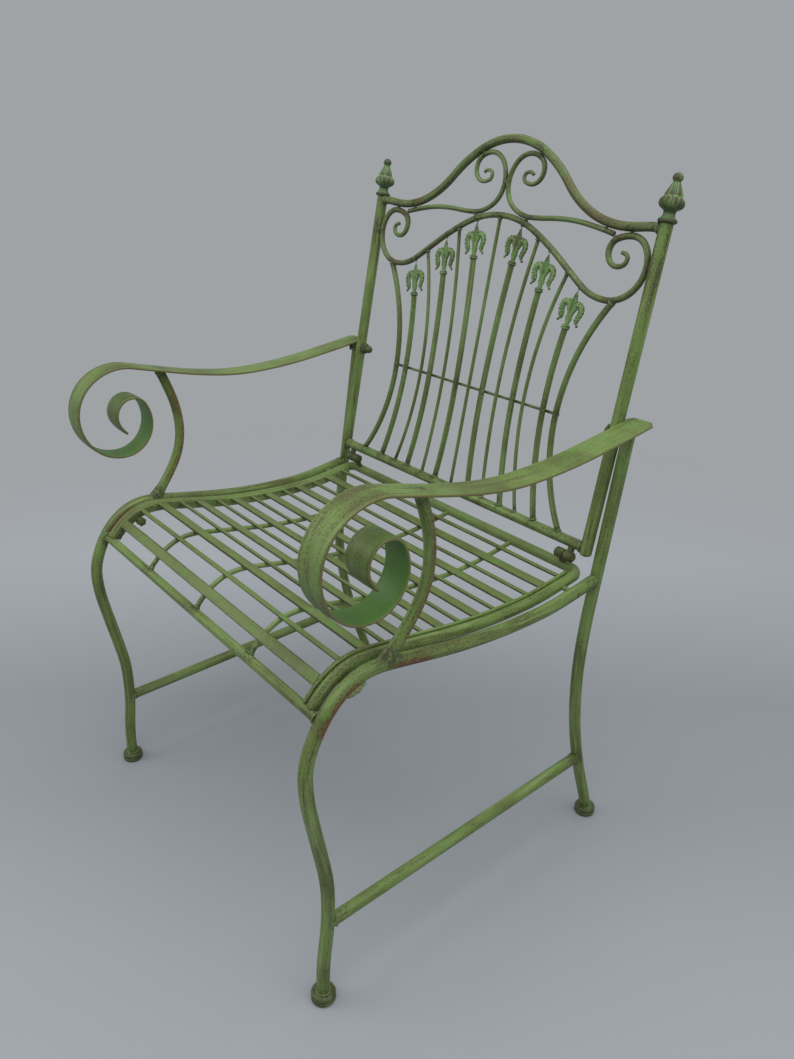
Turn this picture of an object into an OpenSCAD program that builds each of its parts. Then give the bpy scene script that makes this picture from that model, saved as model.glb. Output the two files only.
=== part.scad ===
// Wrought garden armchair with a slatted seat, a hinged scroll back and flat scroll arms.
// Millimetres, +Z up, front faces -Y, the origin is the bottom centre of the whole chair.

/* [Overall] */
// Width between the middles of the two side frames
frame_w = 550; // [460:1:640]
// Depth of the seat from the front leg to the rear leg, at rail height
seat_depth = 440; // [380:1:520]
// Height of the side rails at their crest, to the middle of the tube
seat_h = 444; // [400:1:490]
// Height of the back posts above the back's bottom rail
back_h = 398; // [340:1:450]
// Angle the back leans from upright
back_lean = 11; // [6:0.5:15]

/* [Tubes and rods] */
// Thickness of the leg, upright, stretcher and back post tube
tube_d = 16; // [13:0.5:19]
// Thickness of the seat hoop tube
hoop_d = 14; // [11:0.5:16]
// Thickness of the bar across the front of the seat
front_bar_d = 12; // [9:0.5:14]
// Thickness of the arm posts
arm_post_d = 13.5; // [10:0.5:16]
// Thickness of the back's bottom rail
bottom_rail_d = 14; // [11:0.5:15]
// Thickness of the back's top rail
top_rail_d = 11; // [8:0.5:12]
// Thickness of the arch rod
arch_d = 8; // [6:0.5:9]
// Thickness of the upper scrolls
scroll_d = 6.5; // [5:0.5:7]
// Thickness of the six spindles
spindle_d = 8; // [6:0.5:9]
// Thickness of the two side bars
side_bar_d = 8; // [6:0.5:9]
// Thickness of the five thin rods
thin_d = 5; // [3.5:0.5:6]
// Thickness of the bar behind the spindles
cross_d = 4; // [3:0.5:5]

/* [Seat] */
// Gap between the seat hoop and the side rails
hoop_gap = 10; // [6:0.5:14]
// How far the side rails dip below their crest
rail_dip = 32; // [20:1:40]
// Radius of the hoop's rear corners, to the middle of the tube
hoop_corner = 15; // [12:0.5:24]
// Width of the wide slats
wide_w = 14; // [10:0.5:18]
// Width of the narrow slats
narrow_w = 6; // [4:0.5:8]
// Thickness of the slats
slat_t = 3; // [2:0.5:4]
// Thickness of the strap inside each side of the hoop
strap_t = 4.8; // [3:0.2:6]
// Height of the strap
strap_w = 13; // [11:0.5:16]
// Thickness of the three rods under the slats
support_d = 6.5; // [5:0.5:8]
// Distance of the outer support rods from the middle
support_x = 130; // [90:1:160]
// Place of the front seat bolts, in slat spacings behind the front bar
front_bolt_at = 1.68; // [1.5:0.01:1.9]
// Place of the rear seat bolts, in slat spacings behind the front bar
rear_bolt_at = 13.62; // [13.5:0.01:13.65]
// How far the front bolts run below the middle of the rails
front_bolt_drop = 12.5; // [12:0.1:14]
// Thickness of the sleeves around the front bolts
sleeve_d = 14; // [12:0.5:16]
// Thickness of the seat bolts
seat_bolt_d = 6; // [5:0.5:7]

/* [Legs and feet] */
// Distance of the rear feet behind the front feet
rear_foot_y = 490; // [470:1:510]
// Width of the round feet
foot_d = 30; // [24:1:36]
// Height of the feet
foot_h = 13; // [9:0.5:18]
// Height of the stretchers where they meet the front legs
stretcher_h = 120; // [90:1:160]

/* [Arms] */
// Height of the arms at their lowest, to the middle of the strip
arm_h = 610; // [560:1:660]
// Width of the arm strip
arm_w = 37; // [28:0.5:44]
// Thickness of the arm strip
arm_t = 4; // [3:0.5:6]
// Height of the arm bolts below the arm strip at the uprights
arm_bolt_drop = 10; // [9:0.5:16]
// Thickness of the arm bolts
arm_bolt_d = 8; // [6:0.5:9]

/* [Back] */
// Height of the back's bottom rail
bottom_rail_z = 463; // [460:1:466]
// Rise of the top rail's middle above its low ends
apex_rise = 94; // [70:1:110]
// Height of the arch rod's middle below the top rail's middle
arch_drop = 96; // [90:1:104]
// Height of the cross bar above the bottom rail
cross_v = 152; // [130:1:190]
// Height of the cast flowers above their collars
fleur_h = 50; // [44:1:53]
// Thickness of the cast flowers
fleur_t = 6; // [4:0.5:8]
// Distance of the hinges from the middle
hinge_x = 230; // [200:1:236]
// Thickness of the hinge barrels
barrel_d = 14; // [12:0.5:15]

/* [Hidden] */
$fn = 48;
// Room left between two pieces that are welded or touch
weld = 0.3;
// Room around a bolt or a pin in its hole
bolt_room = 0.1;
// How far every second run of a bent bar reaches into its neighbours, and how much fatter they are
lap = 0.1;
fat = 0.24;
rail_x = frame_w / 2;
hoop_x = rail_x - tube_d / 2 - hoop_gap - hoop_d / 2;
strap_x = hoop_x - hoop_d / 2 - weld - strap_t / 2;
slat_half = strap_x - strap_t / 2 - weld;
post_x = rail_x - tube_d - weld;
arm_x = rail_x - tube_d / 2 + arm_w / 2 + weld;
back_y = seat_depth - 3;
calf = 12;
front_y = -calf - tube_d / 2;
top_v = back_h - 4 + apex_rise - 4;
rear_y = back_y + top_v * sin(back_lean) + top_rail_d / 2;
mid_y = (front_y + rear_y) / 2;

// ---- Bent bars: a knot is [across, up, heading], a run is [start, heading, radius, turn or length]
function heading(a) = [cos(a), sin(a)];
function normal(a) = [-sin(a), cos(a)];
function joint(p0, a0, p1, a1) =
  let(t0 = heading(a0), t1 = heading(a1), v = p1 - p0, k = 1 - t0 * t1, s = v * (t0 + t1))
  let(d = k < 0.000001 ? (v * v) / (4 * (v * t1)) : (sqrt(s * s + 2 * k * (v * v)) - s) / (2 * k))
  (p0 + p1 + d * (t0 - t1)) / 2;
function arc_to(p, a, q) =
  let(v = q - p, side = v * normal(a))
  abs(side) < 0.01 ? [p, a, 0, norm(v)]
  : [p, a, (v * v) / (2 * side), 2 * atan2(side, v * heading(a))];
function turned(r) = r[1] + (r[2] == 0 ? 0 : r[3]);
function point(k) = [k[0], k[1]];
function bent(k) = [for (i = [0:len(k) - 2])
  let(m = joint(point(k[i]), k[i][2], point(k[i + 1]), k[i + 1][2]))
  let(first = arc_to(point(k[i]), k[i][2], m))
  each [first, arc_to(m, turned(first), point(k[i + 1]))]];
function run_length(r) = r[2] == 0 ? r[3] : abs(r[2] * r[3]) * PI / 180;
function begins(path, i) = i == 0 ? 0 : begins(path, i - 1) + run_length(path[i - 1]);
function path_length(path) = begins(path, len(path));
function run_spot(r, s) = r[2] == 0 ? [r[0] + s * heading(r[1]), r[1]]
  : let(a = r[1] + s / r[2] * 180 / PI) [r[0] + r[2] * (normal(r[1]) - normal(a)), a];
function spot(path, s, i = 0) =
  (i >= len(path) - 1 || s <= run_length(path[i])) ? run_spot(path[i], s)
  : spot(path, s - run_length(path[i]), i + 1);
function piece(r, s0, s1) = let(q = run_spot(r, s0))
  [q[0], q[1], r[2], r[2] == 0 ? s1 - s0 : (s1 - s0) / r[2] * 180 / PI];
function clip(path, s0, s1) = [for (i = [0:len(path) - 1])
  let(b = begins(path, i), lo = max(s0 - b, 0), hi = min(s1 - b, run_length(path[i])))
  if (hi - lo > 0.2) piece(path[i], lo, hi)];
function shifted(path, e) = [for (r = path)
  [r[0] + e * normal(r[1]), r[1], r[2] == 0 ? 0 : r[2] - e, r[3]]];
function reach(path, k, value, lo, hi, n = 40) =
  let(mid = (lo + hi) / 2)
  n == 0 ? mid
  : (spot(path, mid)[0][k] > value) == (spot(path, hi)[0][k] > value) ? reach(path, k, value, lo, mid, n - 1)
  : reach(path, k, value, mid, hi, n - 1);

module bend_run(r, over) {
  extra = r[2] == 0 ? over : over / abs(r[2]) * 180 / PI;
  translate([r[0].x, r[0].y, 0]) rotate([0, 0, r[1]])
  if (r[2] == 0) {
    translate([-over, 0, 0]) rotate([90, 0, 90]) linear_extrude(r[3] + 2 * over) children();
  } else {
    translate([0, r[2], 0])
    rotate([0, 0, (r[2] > 0 ? -90 : 90) + min(r[3], 0) - extra])
    rotate_extrude(angle = abs(r[3]) + 2 * extra) translate([abs(r[2]), 0]) children();
  }
}
module rod(path, d) {
  $fn = d > 10 ? 48 : 28;
  for (i = [0:len(path) - 1])
    bend_run(path[i], i % 2 == 0 ? 0 : lap) circle(d = d + (i % 2 == 0 ? fat : 0));
}
module strip(path, t, w) {
  for (i = [0:len(path) - 1])
    bend_run(path[i], i % 2 == 0 ? 0 : lap)
      square([t + (i % 2 == 0 ? fat : 0), w + (i % 2 == 0 ? fat : 0)], center = true);
}
// A straight cutter lying along a path at one spot
module cutter(q, d, long = 60) {
  translate([q[0].x, q[0].y, 0]) rotate([0, 0, q[1]]) rotate([0, 90, 0])
    cylinder(d = d, h = long, center = true);
}
// A block beside a path at one spot, between two distances from it
module beyond(q, near, far) {
  translate([q[0].x, q[0].y, 0]) rotate([0, 0, q[1]])
    translate([-60, near, -40]) cube([120, far - near, 80]);
}
module shift_y() { translate([0, -mid_y, 0]) children(); }
module side_plane(x) { shift_y() translate([x, 0, 0]) rotate([90, 0, 90]) children(); }
module back_plane() {
  shift_y() translate([0, back_y, bottom_rail_z]) rotate([90 - back_lean, 0, 0]) children();
}
module across(x0, x1, y, z, d) {
  shift_y() translate([x0, y, z]) rotate([0, 90, 0]) cylinder(d = d, h = x1 - x0);
}

// ---- Side frame
bar_y = 10.5;
bar_z = seat_h - 37.5;
rear_z = seat_h - rail_dip + 12;
rail_rise = 9;
rail_end = [seat_depth - hoop_corner * cos(rail_rise), rear_z - hoop_corner * sin(rail_rise)];
seat_knots = [[bar_y, bar_z, 56], [74, seat_h, 0], [100, seat_h - 3, -11],
  [165, seat_h - rail_dip / 2, -11], [seat_depth - 108, seat_h - rail_dip, 0],
  [rail_end.x, rail_end.y, rail_rise]];
seat_path = bent(seat_knots);
seat_len = path_length(seat_path);
long_path = concat(seat_path, [[rail_end, rail_rise, 0, hoop_corner]]);
long_len = seat_len + hoop_corner;
leg_knots = [[0, foot_h + weld, 90], [11, seat_h * 0.36, 90], [-0.5, seat_h - 193, 100],
  [-calf, seat_h - 102, 90], seat_knots[0]];
leg_path = concat(bent(leg_knots), seat_path, [[rail_end, rail_rise, 0, hoop_corner - 2.5]]);

upright_lean = 8;
rear_at = [seat_depth - 34 * tan(upright_lean), rear_z - 34];
rear_path = concat(bent([[rear_foot_y, foot_h + weld, 108], [rear_at.x + 15, 135, 105.5],
  [rear_at.x - 7, seat_h - 154, 90], [rear_at.x, rear_at.y, 90 - upright_lean]]),
  [[rear_at, 90 - upright_lean, 0, arm_h + 40 - rear_at.y]]);
upright = [[seat_depth, rear_z], 90 - upright_lean];

arm_rise = 21.5;
arm_path = bent([[seat_depth + 41, arm_h + arm_rise, 189], [seat_depth - 170, arm_h, 180],
  [160, arm_h + 14.5, 167], [95, arm_h + 30.5, 166], [63, arm_h + 36.5, 180],
  [-4.5, arm_h - 27, 270], [54, arm_h - 89.5, 360], [98.5, arm_h - 44, 450],
  [73, arm_h - 7.5, 540], [49, arm_h - 33, 630], [60.5, arm_h - 57, 672]]);
arm_over_upright = spot(arm_path, reach(arm_path, 0, rear_at.x + 34, 60, 0));
arm_over_post = spot(arm_path, reach(arm_path, 0, 124, 460, 300));

rail_under_post = spot(seat_path, reach(seat_path, 0, 89, 40, 160));
post_path = bent([[rail_under_post[0].x, rail_under_post[0].y, 45], [144.5, arm_h - 61, 90],
  [121, arm_h + 30, 113]]);
post_tilt = atan((arm_x - rail_x) / (arm_h + 22 - seat_h - 8));

module front_leg() {
  difference() {
    side_plane(rail_x) difference() {
      rod(leg_path, tube_d);
      cutter(upright, tube_d + 2 * weld);
    }
    seat_bolt_bores();
  }
}
module rear_leg() {
  difference() {
    side_plane(rail_x) difference() {
      rod(rear_path, tube_d);
      beyond(arm_over_upright, -60, arm_t / 2 + weld);
      translate([0, -60 + foot_h + weld, -20]) cube([600, 60, 40]);
    }
    arm_bolt_bores();
  }
}
stretcher_a = [spot(leg_path, reach(leg_path, 1, stretcher_h, 0, 140))[0].x, stretcher_h];
stretcher_q = spot(rear_path, reach(rear_path, 1, stretcher_h + 7, 0, 140));
module stretcher() {
  a = stretcher_a;
  b = stretcher_q[0];
  slope = atan2(b.y - a.y, b.x - a.x);
  side_plane(rail_x) difference() {
    translate([a.x, a.y, 0]) rotate([0, 0, slope]) rotate([0, 90, 0])
      cylinder(d = tube_d - 0.5, h = norm(b - a));
    cutter(spot(leg_path, reach(leg_path, 1, stretcher_h, 0, 140)), tube_d + 2 * weld);
    cutter(stretcher_q, tube_d + 2 * weld);
  }
}
module arm_post() {
  difference() {
    shift_y() translate([rail_x, 0, seat_h + 8]) rotate([0, post_tilt, 0])
      translate([0, 0, -seat_h - 8]) rotate([90, 0, 90]) rod(post_path, arm_post_d);
    side_plane(rail_x) cutter(rail_under_post, tube_d + 2 * weld + 0.7, 70);
    side_plane(rail_x) beyond(arm_over_post, -60, arm_t / 2 + weld);
  }
}
module arm() {
  clipped = 9;
  difference() {
    side_plane(arm_x) strip(arm_path, arm_t, arm_w);
    for (side = [-1, 1])
      shift_y() translate([arm_x + side * arm_w / 2, seat_depth + 41, arm_h + arm_rise])
        rotate([0, 0, 45]) cube([clipped, clipped, 60], center = true);
  }
}
module foot() {
  groove = 1.2;
  difference() {
    cylinder(d = foot_d, h = foot_h);
    translate([0, 0, foot_h * 0.45]) difference() {
      cylinder(d = foot_d + 4, h = 2.4, center = true);
      cylinder(d = foot_d - 2 * groove, h = 4, center = true);
    }
    translate([0, 0, foot_h]) difference() {
      cylinder(d = foot_d + 4, h = 3, center = true);
      cylinder(d1 = foot_d + 1, d2 = foot_d - 5, h = 3.2, center = true);
    }
  }
}
module front_foot() { shift_y() translate([rail_x, 0, 0]) foot(); }
module rear_foot() { shift_y() translate([rail_x, rear_foot_y, 0]) foot(); }

// ---- Seat
front_reach = front_bar_d / 2 + weld;
pitch = long_len / 15;
slat_up = support_d / 2 + slat_t / 2 - 0.85 + weld;
front_spot = spot(seat_path, front_bolt_at * pitch);
front_bolt = front_spot[0] - front_bolt_drop * normal(front_spot[1]);
rear_bolt = spot(seat_path, rear_bolt_at * pitch)[0];
nut_w = 10.8;
nut_t = 6;
// Inner and outer face that each pair of bolts clamps
sleeve_in = hoop_x - hoop_d / 2 + 0.3;
sleeve_out = rail_x + tube_d / 2 - 1;
strap_in = strap_x - strap_t / 2;
rail_out = rail_x + tube_d / 2;
bolts = [[front_bolt, sleeve_in, sleeve_out], [rear_bolt, strap_in, rail_out]];
module seat_bolt_bores() {
  across(rail_x - 80, rail_x + 40, rear_bolt.x, rear_bolt.y, seat_bolt_d + 2 * bolt_room);
}
module hoop_side() {
  difference() {
    side_plane(hoop_x) rod(clip(seat_path, front_reach, seat_len), hoop_d);
    seat_bolt_bores();
  }
  shift_y() translate([hoop_x - hoop_corner, rail_end.x, rail_end.y]) rotate([rail_rise, 0, 0])
    rotate_extrude(angle = 90 + lap) translate([hoop_corner, 0]) circle(d = hoop_d + fat);
}
module seat_hoop() {
  hoop_side();
  mirror([1, 0, 0]) hoop_side();
  across(-hoop_x + hoop_corner, hoop_x - hoop_corner, seat_depth, rear_z, hoop_d);
}
module strap() {
  difference() {
    side_plane(strap_x) strip(clip(seat_path, front_reach, seat_len), strap_w, strap_t);
    seat_bolt_bores();
  }
}
module front_bar() {
  across(-rail_x + tube_d / 2 + 3, rail_x - tube_d / 2 - 3, bar_y, bar_z, front_bar_d);
}
module seat_supports() {
  for (x = [-support_x, 0, support_x])
    side_plane(x) rod(shifted(clip(long_path, front_reach, long_len - hoop_d / 2 - weld), -0.85), support_d);
}
module slat(n, w) {
  q = spot(long_path, n * pitch);
  shift_y() translate([0, q[0].x, q[0].y]) rotate([q[1], 0, 0])
    translate([-slat_half, -w / 2, slat_up - slat_t / 2]) cube([2 * slat_half, w, slat_t]);
}
module narrow_slats() {
  for (n = [2:2:14]) slat(n, narrow_w);
}
module seat_bolts() {
  for (b = bolts, side = [0, 1]) mirror([side, 0, 0]) {
    across(b[1] - nut_t - 2.5, b[2] + weld, b[0].x, b[0].y, seat_bolt_d);
    across(b[2] + weld, b[2] + weld + 3.5, b[0].x, b[0].y, nut_w - 0.4);
  }
}
module seat_nuts() {
  for (b = bolts, side = [0, 1]) mirror([side, 0, 0])
    shift_y() translate([b[1] - weld - nut_t, b[0].x, b[0].y]) rotate([0, 90, 0])
      difference() {
        cylinder(d = nut_w, h = nut_t, $fn = 6);
        translate([0, 0, -1]) cylinder(d = seat_bolt_d + 2 * bolt_room, h = nut_t + 2);
      }
}
// Long sleeves notched under both tubes at the front, short rings between them at the rear
module seat_spacers() {
  for (side = [0, 1]) mirror([side, 0, 0]) {
    difference() {
      across(sleeve_in, sleeve_out, front_bolt.x, front_bolt.y, sleeve_d);
      across(sleeve_in - 1, sleeve_out + 1, front_bolt.x, front_bolt.y, seat_bolt_d + 2 * bolt_room);
      side_plane(rail_x) cutter(front_spot, tube_d + 2 * weld + 1);
      side_plane(hoop_x) cutter(front_spot, hoop_d + 2 * weld + 1);
    }
    shift_y() translate([hoop_x + hoop_d / 2 + weld, rear_bolt.x, rear_bolt.y]) rotate([0, 90, 0])
      difference() {
        cylinder(d = seat_bolt_d + 6, h = hoop_gap - 2 * weld);
        translate([0, 0, -1]) cylinder(d = seat_bolt_d + 2 * bolt_room, h = hoop_gap + 2);
      }
  }
}

// ---- Hinges between the seat and the back
barrel_l = 13;
pin_d = 6;
barrel_y = seat_depth - 9.5;
barrel_z = (rear_z + bottom_rail_z) / 2 + 1.5;
module knuckle(x, to_y, to_z, d) {
  reach_y = to_y - barrel_y;
  reach_z = to_z - barrel_z;
  shift_y() difference() {
    union() {
      translate([x, barrel_y, barrel_z]) rotate([0, 90, 0]) cylinder(d = barrel_d, h = barrel_l);
      translate([x, barrel_y, barrel_z]) rotate([atan2(reach_z, reach_y), 0, 0])
        translate([0.5, 0, -3.5]) cube([barrel_l - 1, norm([reach_y, reach_z]), 7]);
    }
    translate([x - 1, to_y, to_z]) rotate([0, 90, 0]) cylinder(d = d + 2 * weld, h = barrel_l + 2);
    translate([x - 1, barrel_y, barrel_z]) rotate([0, 90, 0])
      cylinder(d = pin_d + 2 * bolt_room, h = barrel_l + 2);
  }
}
module hinge_seat_knuckles() {
  for (side = [0, 1]) mirror([side, 0, 0])
    knuckle(hinge_x - barrel_l - weld, seat_depth, rear_z, hoop_d);
}
module hinge_back_knuckles() {
  for (side = [0, 1]) mirror([side, 0, 0])
    knuckle(hinge_x + weld, back_y, bottom_rail_z, bottom_rail_d);
}
module hinge_pins() {
  for (side = [0, 1]) mirror([side, 0, 0]) {
    across(hinge_x - barrel_l - 1, hinge_x + barrel_l + 1, barrel_y, barrel_z, pin_d);
    across(hinge_x + barrel_l + 2 * weld, hinge_x + barrel_l + 2.2, barrel_y, barrel_z, pin_d + 4);
    across(hinge_x - barrel_l - 2.2, hinge_x - barrel_l - 2 * weld, barrel_y, barrel_z, pin_d + 4);
  }
}

// ---- Back
top_low = back_h - 8;
arm_bolt_z = arm_over_upright[0].y - arm_t / 2 - arm_bolt_drop;
arm_bolt_y = upright[0].x + (arm_bolt_z - upright[0].y) * tan(upright_lean);
module arm_bolt_bores() {
  across(post_x - 20, rail_x + 20, arm_bolt_y, arm_bolt_z, arm_bolt_d + 2 * bolt_room);
}
module back_post() {
  difference() {
    back_plane() translate([post_x, -10, 0]) rotate([-90, 0, 0]) {
      cylinder(d = tube_d, h = finial_v + 10 - weld);
      cylinder(d1 = tube_d - 3, d2 = tube_d, h = 1.5);
    }
    back_plane() translate([post_x, -10, 0]) rotate([-90, 0, 0]) difference() {
      translate([0, 0, -1]) cylinder(d = tube_d + 2, h = 2.5);
      translate([0, 0, -1.1]) cylinder(d1 = tube_d - 5.2, d2 = tube_d, h = 2.6);
    }
    arm_bolt_bores();
  }
}
finial_v = back_h - 0.4;
collar_d = 24;
module post_cut() {
  for (side = [-1, 1])
    translate([side * post_x, 0, 0]) rotate([90, 0, 0]) cylinder(d = tube_d + 2 * weld, h = 1200, center = true);
}
module back_bottom_rail() {
  back_plane() difference() {
    translate([-post_x, 0, 0]) rotate([0, 90, 0]) cylinder(d = bottom_rail_d, h = 2 * post_x);
    post_cut();
  }
}
top_knots = [[post_x, top_low + 2.5, 175], [205, top_low, 180], [105, top_low + 44, 134],
  [0, top_v, 180]];
top_half = bent(top_knots);
top_path = concat(top_half, bent([[0, top_v, 180], [-105, top_low + 44, 226],
  [-205, top_low, 180], [-post_x, top_low + 2.5, 185]]));
module top_rail() {
  back_plane() difference() {
    rod(top_path, top_rail_d);
    post_cut();
    for (side = [-1, 1])
      translate([side * post_x, finial_v - weld, 0]) rotate([-90, 0, 0]) cylinder(d = collar_d + 2 * weld, h = 40);
  }
}
arch_v = top_v - arch_drop;
arch_out = post_x - tube_d / 2 - arch_d / 2 - weld;
arch_top = top_low - (top_rail_d + arch_d) / 2 - 1.2 * weld;
arch_half = bent([[0, arch_v, 0], [118, arch_v - 46, -34], [arch_out - 46.5, arch_v - 84.4, 0],
  [arch_out, arch_v - 40, 90], [arch_out - 28, arch_top, 180], [arch_out - 58, arch_top - 19.3, 270],
  [arch_out - 42, arch_top - 36.3, 360], [arch_out - 29, arch_top - 26.3, 450],
  [arch_out - 38.5, arch_top - 19.8, 540]]);
module arch_rod() {
  $fn = 28;
  end = run_spot(arch_half[0], run_length(arch_half[0]));
  middle = [[-end[0].x, end[0].y], -end[1], arch_half[0][2], 2 * arch_half[0][3]];
  back_plane() {
    bend_run(middle, 0) circle(d = arch_d + fat);
    for (side = [0, 1], i = [1:len(arch_half) - 1])
      mirror([side, 0, 0]) bend_run(arch_half[i], i % 2 == 0 ? 0 : lap)
        circle(d = arch_d + (i % 2 == 0 ? fat : 0));
  }
}
scroll_in = scroll_d / 2 + weld;
scroll_path = bent([[190.5, top_low - 9.9, 167], [110, top_low + 1, 180], [55, arch_v + 0.8, 180],
  [scroll_in, arch_v + 42, 90], [35.5, top_v - 17.4, 0], [61.5, top_v - 37.5, 270],
  [44, top_v - 55, 180], [29.5, top_v - 46, 90], [38, top_v - 40, 0], [45, top_v - 43, -40]]);
module upper_scroll() {
  back_plane() rod(scroll_path, scroll_d);
}
// Spot on the arch rod above or below a place across the back
function arch_at(x) = spot(arch_half, reach(arch_half, 0, x, 0, 270));
module sheaf_rod(foot_x, waist, top, d, arch_x) {
  q = arch_at(arch_x);
  up = arc_to([waist[0], waist[1]], 90, top);
  down = arc_to([waist[0], waist[1]], -90, [foot_x, 2]);
  difference() {
    union() {
      bend_run(up, 0) circle(d = d + fat);
      bend_run(down, lap) circle(d = d);
    }
    if (d > 6) {
      rotate([0, 90, 0]) cylinder(d = bottom_rail_d + 2 * weld, h = 900, center = true);
    } else {
      translate([foot_x - 30, -30, -30]) cube([60, 30 + bottom_rail_d / 2 + weld, 60]);
    }
    cutter(q, arch_d + 2 * weld, 30);
    beyond(q, 0, 60);
  }
}
module side_bar() {
  back_plane() sheaf_rod(212, [163.5, 150], [212, arch_v - 84], side_bar_d, 212);
}
cross_w = -(spindle_d + cross_d) / 2 - weld;
module crossbar() {
  back_plane() translate([-163.5, cross_v, cross_w]) rotate([0, 90, 0]) cylinder(d = cross_d, h = 327);
}
// Foot, waist [across, up], tip [across, up] of the three spindles of one side
sheaf = [[166, [141, 165], 158], [102, [85.5, 165], 98.5], [36, [27, 140], 42.5]];
function tip(i) = let(q = arch_at(sheaf[i][2])) [sheaf[i][2], q[0].y - (arch_d / 2 + weld) / cos(q[1]) - 1.2];
function spindle_up(i) = arc_to([sheaf[i][1][0], sheaf[i][1][1]], 90, tip(i));
function collar_s(i) = run_length(spindle_up(i)) - fleur_h;
module spindle(i) {
  up = spindle_up(i);
  down = arc_to([sheaf[i][1][0], sheaf[i][1][1]], -90, [sheaf[i][0], 2]);
  back_plane() difference() {
    union() {
      bend_run(piece(up, 0, collar_s(i) - weld), 0) circle(d = spindle_d + fat);
      bend_run(down, lap) circle(d = spindle_d);
    }
    rotate([0, 90, 0]) cylinder(d = bottom_rail_d + 2 * weld, h = 900, center = true);
  }
}
thin = [[132, [105.5, 165], 134], [66, [55.5, 160], 75]];
module thin_rods() {
  back_plane() {
    for (side = [0, 1], r = thin)
      mirror([side, 0, 0]) sheaf_rod(r[0], r[1], arch_at(r[2])[0] - [0, arch_d / 2 - 1], thin_d, r[2]);
    translate([0, bottom_rail_d / 2 + weld, 0]) rotate([-90, 0, 0])
      cylinder(d = thin_d, h = arch_v - arch_d / 2 - bottom_rail_d / 2 - 2 * weld - 0.1);
  }
}
// A cast flower: collar, pair of small leaves, two curled side petals and a pointed middle petal
module fleur_shape() {
  h = fleur_h;
  // middle petal
  translate([0, h * 0.57]) intersection() {
    translate([-h * 0.58, 0]) circle(r = h * 0.72);
    translate([h * 0.58, 0]) circle(r = h * 0.72);
  }
  // side petals
  for (side = [0, 1]) mirror([side, 0]) {
    translate([h * 0.16, h * 0.50]) difference() {
      circle(r = h * 0.21);
      translate([h * 0.05, -h * 0.12]) circle(r = h * 0.15);
    }
    translate([h * 0.29, h * 0.44]) circle(r = h * 0.07);
    translate([h * 0.10, h * 0.17]) circle(r = h * 0.085);
  }
  translate([-h * 0.055, h * 0.1]) square([h * 0.11, h * 0.3]);
}
module fleur(i) {
  q = run_spot(spindle_up(i), collar_s(i));
  back_plane() translate([q[0].x, q[0].y, 0]) rotate([0, 0, q[1] - 90]) {
    translate([0, weld, 0]) rotate([-90, 0, 0]) cylinder(d = spindle_d + 4, h = fleur_h * 0.1);
    intersection() {
      translate([0, 0, -fleur_t / 2]) linear_extrude(fleur_t) fleur_shape();
      translate([-30, 1, -20]) cube([60, fleur_h - 1.4, 40]);
    }
  }
}
module finial() {
  back_plane() translate([post_x, finial_v, 0]) rotate([-90, 0, 0]) {
    cylinder(d = collar_d, h = 5);
    translate([0, 0, 4.9]) cylinder(d1 = 19, d2 = 14, h = 3);
    translate([0, 0, 7.8]) cylinder(d = 14, h = 8);
    translate([0, 0, 22]) difference() {
      sphere(d = 30);
      translate([0, 0, 7.5]) cylinder(d = 40, h = 20);
      translate([0, 0, -27.5]) cylinder(d = 40, h = 20);
    }
    translate([0, 0, 29.4]) cylinder(d1 = 19, d2 = 8.5, h = 16);
    translate([0, 0, 49]) sphere(d = 11.5);
  }
}
module arm_bolts() {
  for (side = [0, 1]) mirror([side, 0, 0]) {
    across(post_x - tube_d / 2 - 12, rail_x + tube_d / 2 + weld, arm_bolt_y, arm_bolt_z, arm_bolt_d);
    across(rail_x + tube_d / 2 + weld, rail_x + tube_d / 2 + weld + 4, arm_bolt_y, arm_bolt_z, arm_bolt_d + 6);
  }
}
module acorn_nuts() {
  start = post_x - tube_d / 2 - weld;
  for (side = [0, 1]) mirror([side, 0, 0]) difference() {
    union() {
      across(start - 2.5, start, arm_bolt_y, arm_bolt_z, 18);
      shift_y() translate([start - 9, arm_bolt_y, arm_bolt_z]) rotate([0, 90, 0]) cylinder(d = 16, h = 6.6, $fn = 6);
      across(start - 14, start - 8.9, arm_bolt_y, arm_bolt_z, 12);
      shift_y() translate([start - 14, arm_bolt_y, arm_bolt_z]) sphere(d = 12);
    }
    across(start - 12.5, start + 1, arm_bolt_y, arm_bolt_z, arm_bolt_d + 2 * bolt_room);
  }
}

paint = "#6f8a46";
old_paint = "#66773c";
pale_paint = "#7c9550";
rusty = "#7a5230";
dark = "#3a3a28";

color(paint) mirror([1, 0, 0]) front_leg();  // left_front_leg
color(paint) front_leg();  // right_front_leg
color(paint) mirror([1, 0, 0]) rear_leg();  // left_rear_leg
color(paint) rear_leg();  // right_rear_leg
color(paint) mirror([1, 0, 0]) stretcher();  // left_stretcher
color(paint) stretcher();  // right_stretcher
color(paint) mirror([1, 0, 0]) arm_post();  // left_arm_post
color(paint) arm_post();  // right_arm_post
color(pale_paint) mirror([1, 0, 0]) arm();  // left_arm
color(pale_paint) arm();  // right_arm
color(dark) mirror([1, 0, 0]) front_foot();  // left_front_foot
color(dark) front_foot();  // right_front_foot
color(dark) mirror([1, 0, 0]) rear_foot();  // left_rear_foot
color(dark) rear_foot();  // right_rear_foot
color(paint) seat_hoop();
color(paint) mirror([1, 0, 0]) strap();  // left_seat_strap
color(paint) strap();  // right_seat_strap
color(paint) front_bar();
color(old_paint) seat_supports();
color(pale_paint) slat(1, wide_w);  // wide_slat_1
color(pale_paint) slat(3, wide_w);  // wide_slat_2
color(pale_paint) slat(5, wide_w);  // wide_slat_3
color(pale_paint) slat(7, wide_w);  // wide_slat_4
color(pale_paint) slat(9, wide_w);  // wide_slat_5
color(pale_paint) slat(11, wide_w);  // wide_slat_6
color(pale_paint) slat(13, wide_w);  // wide_slat_7
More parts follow.
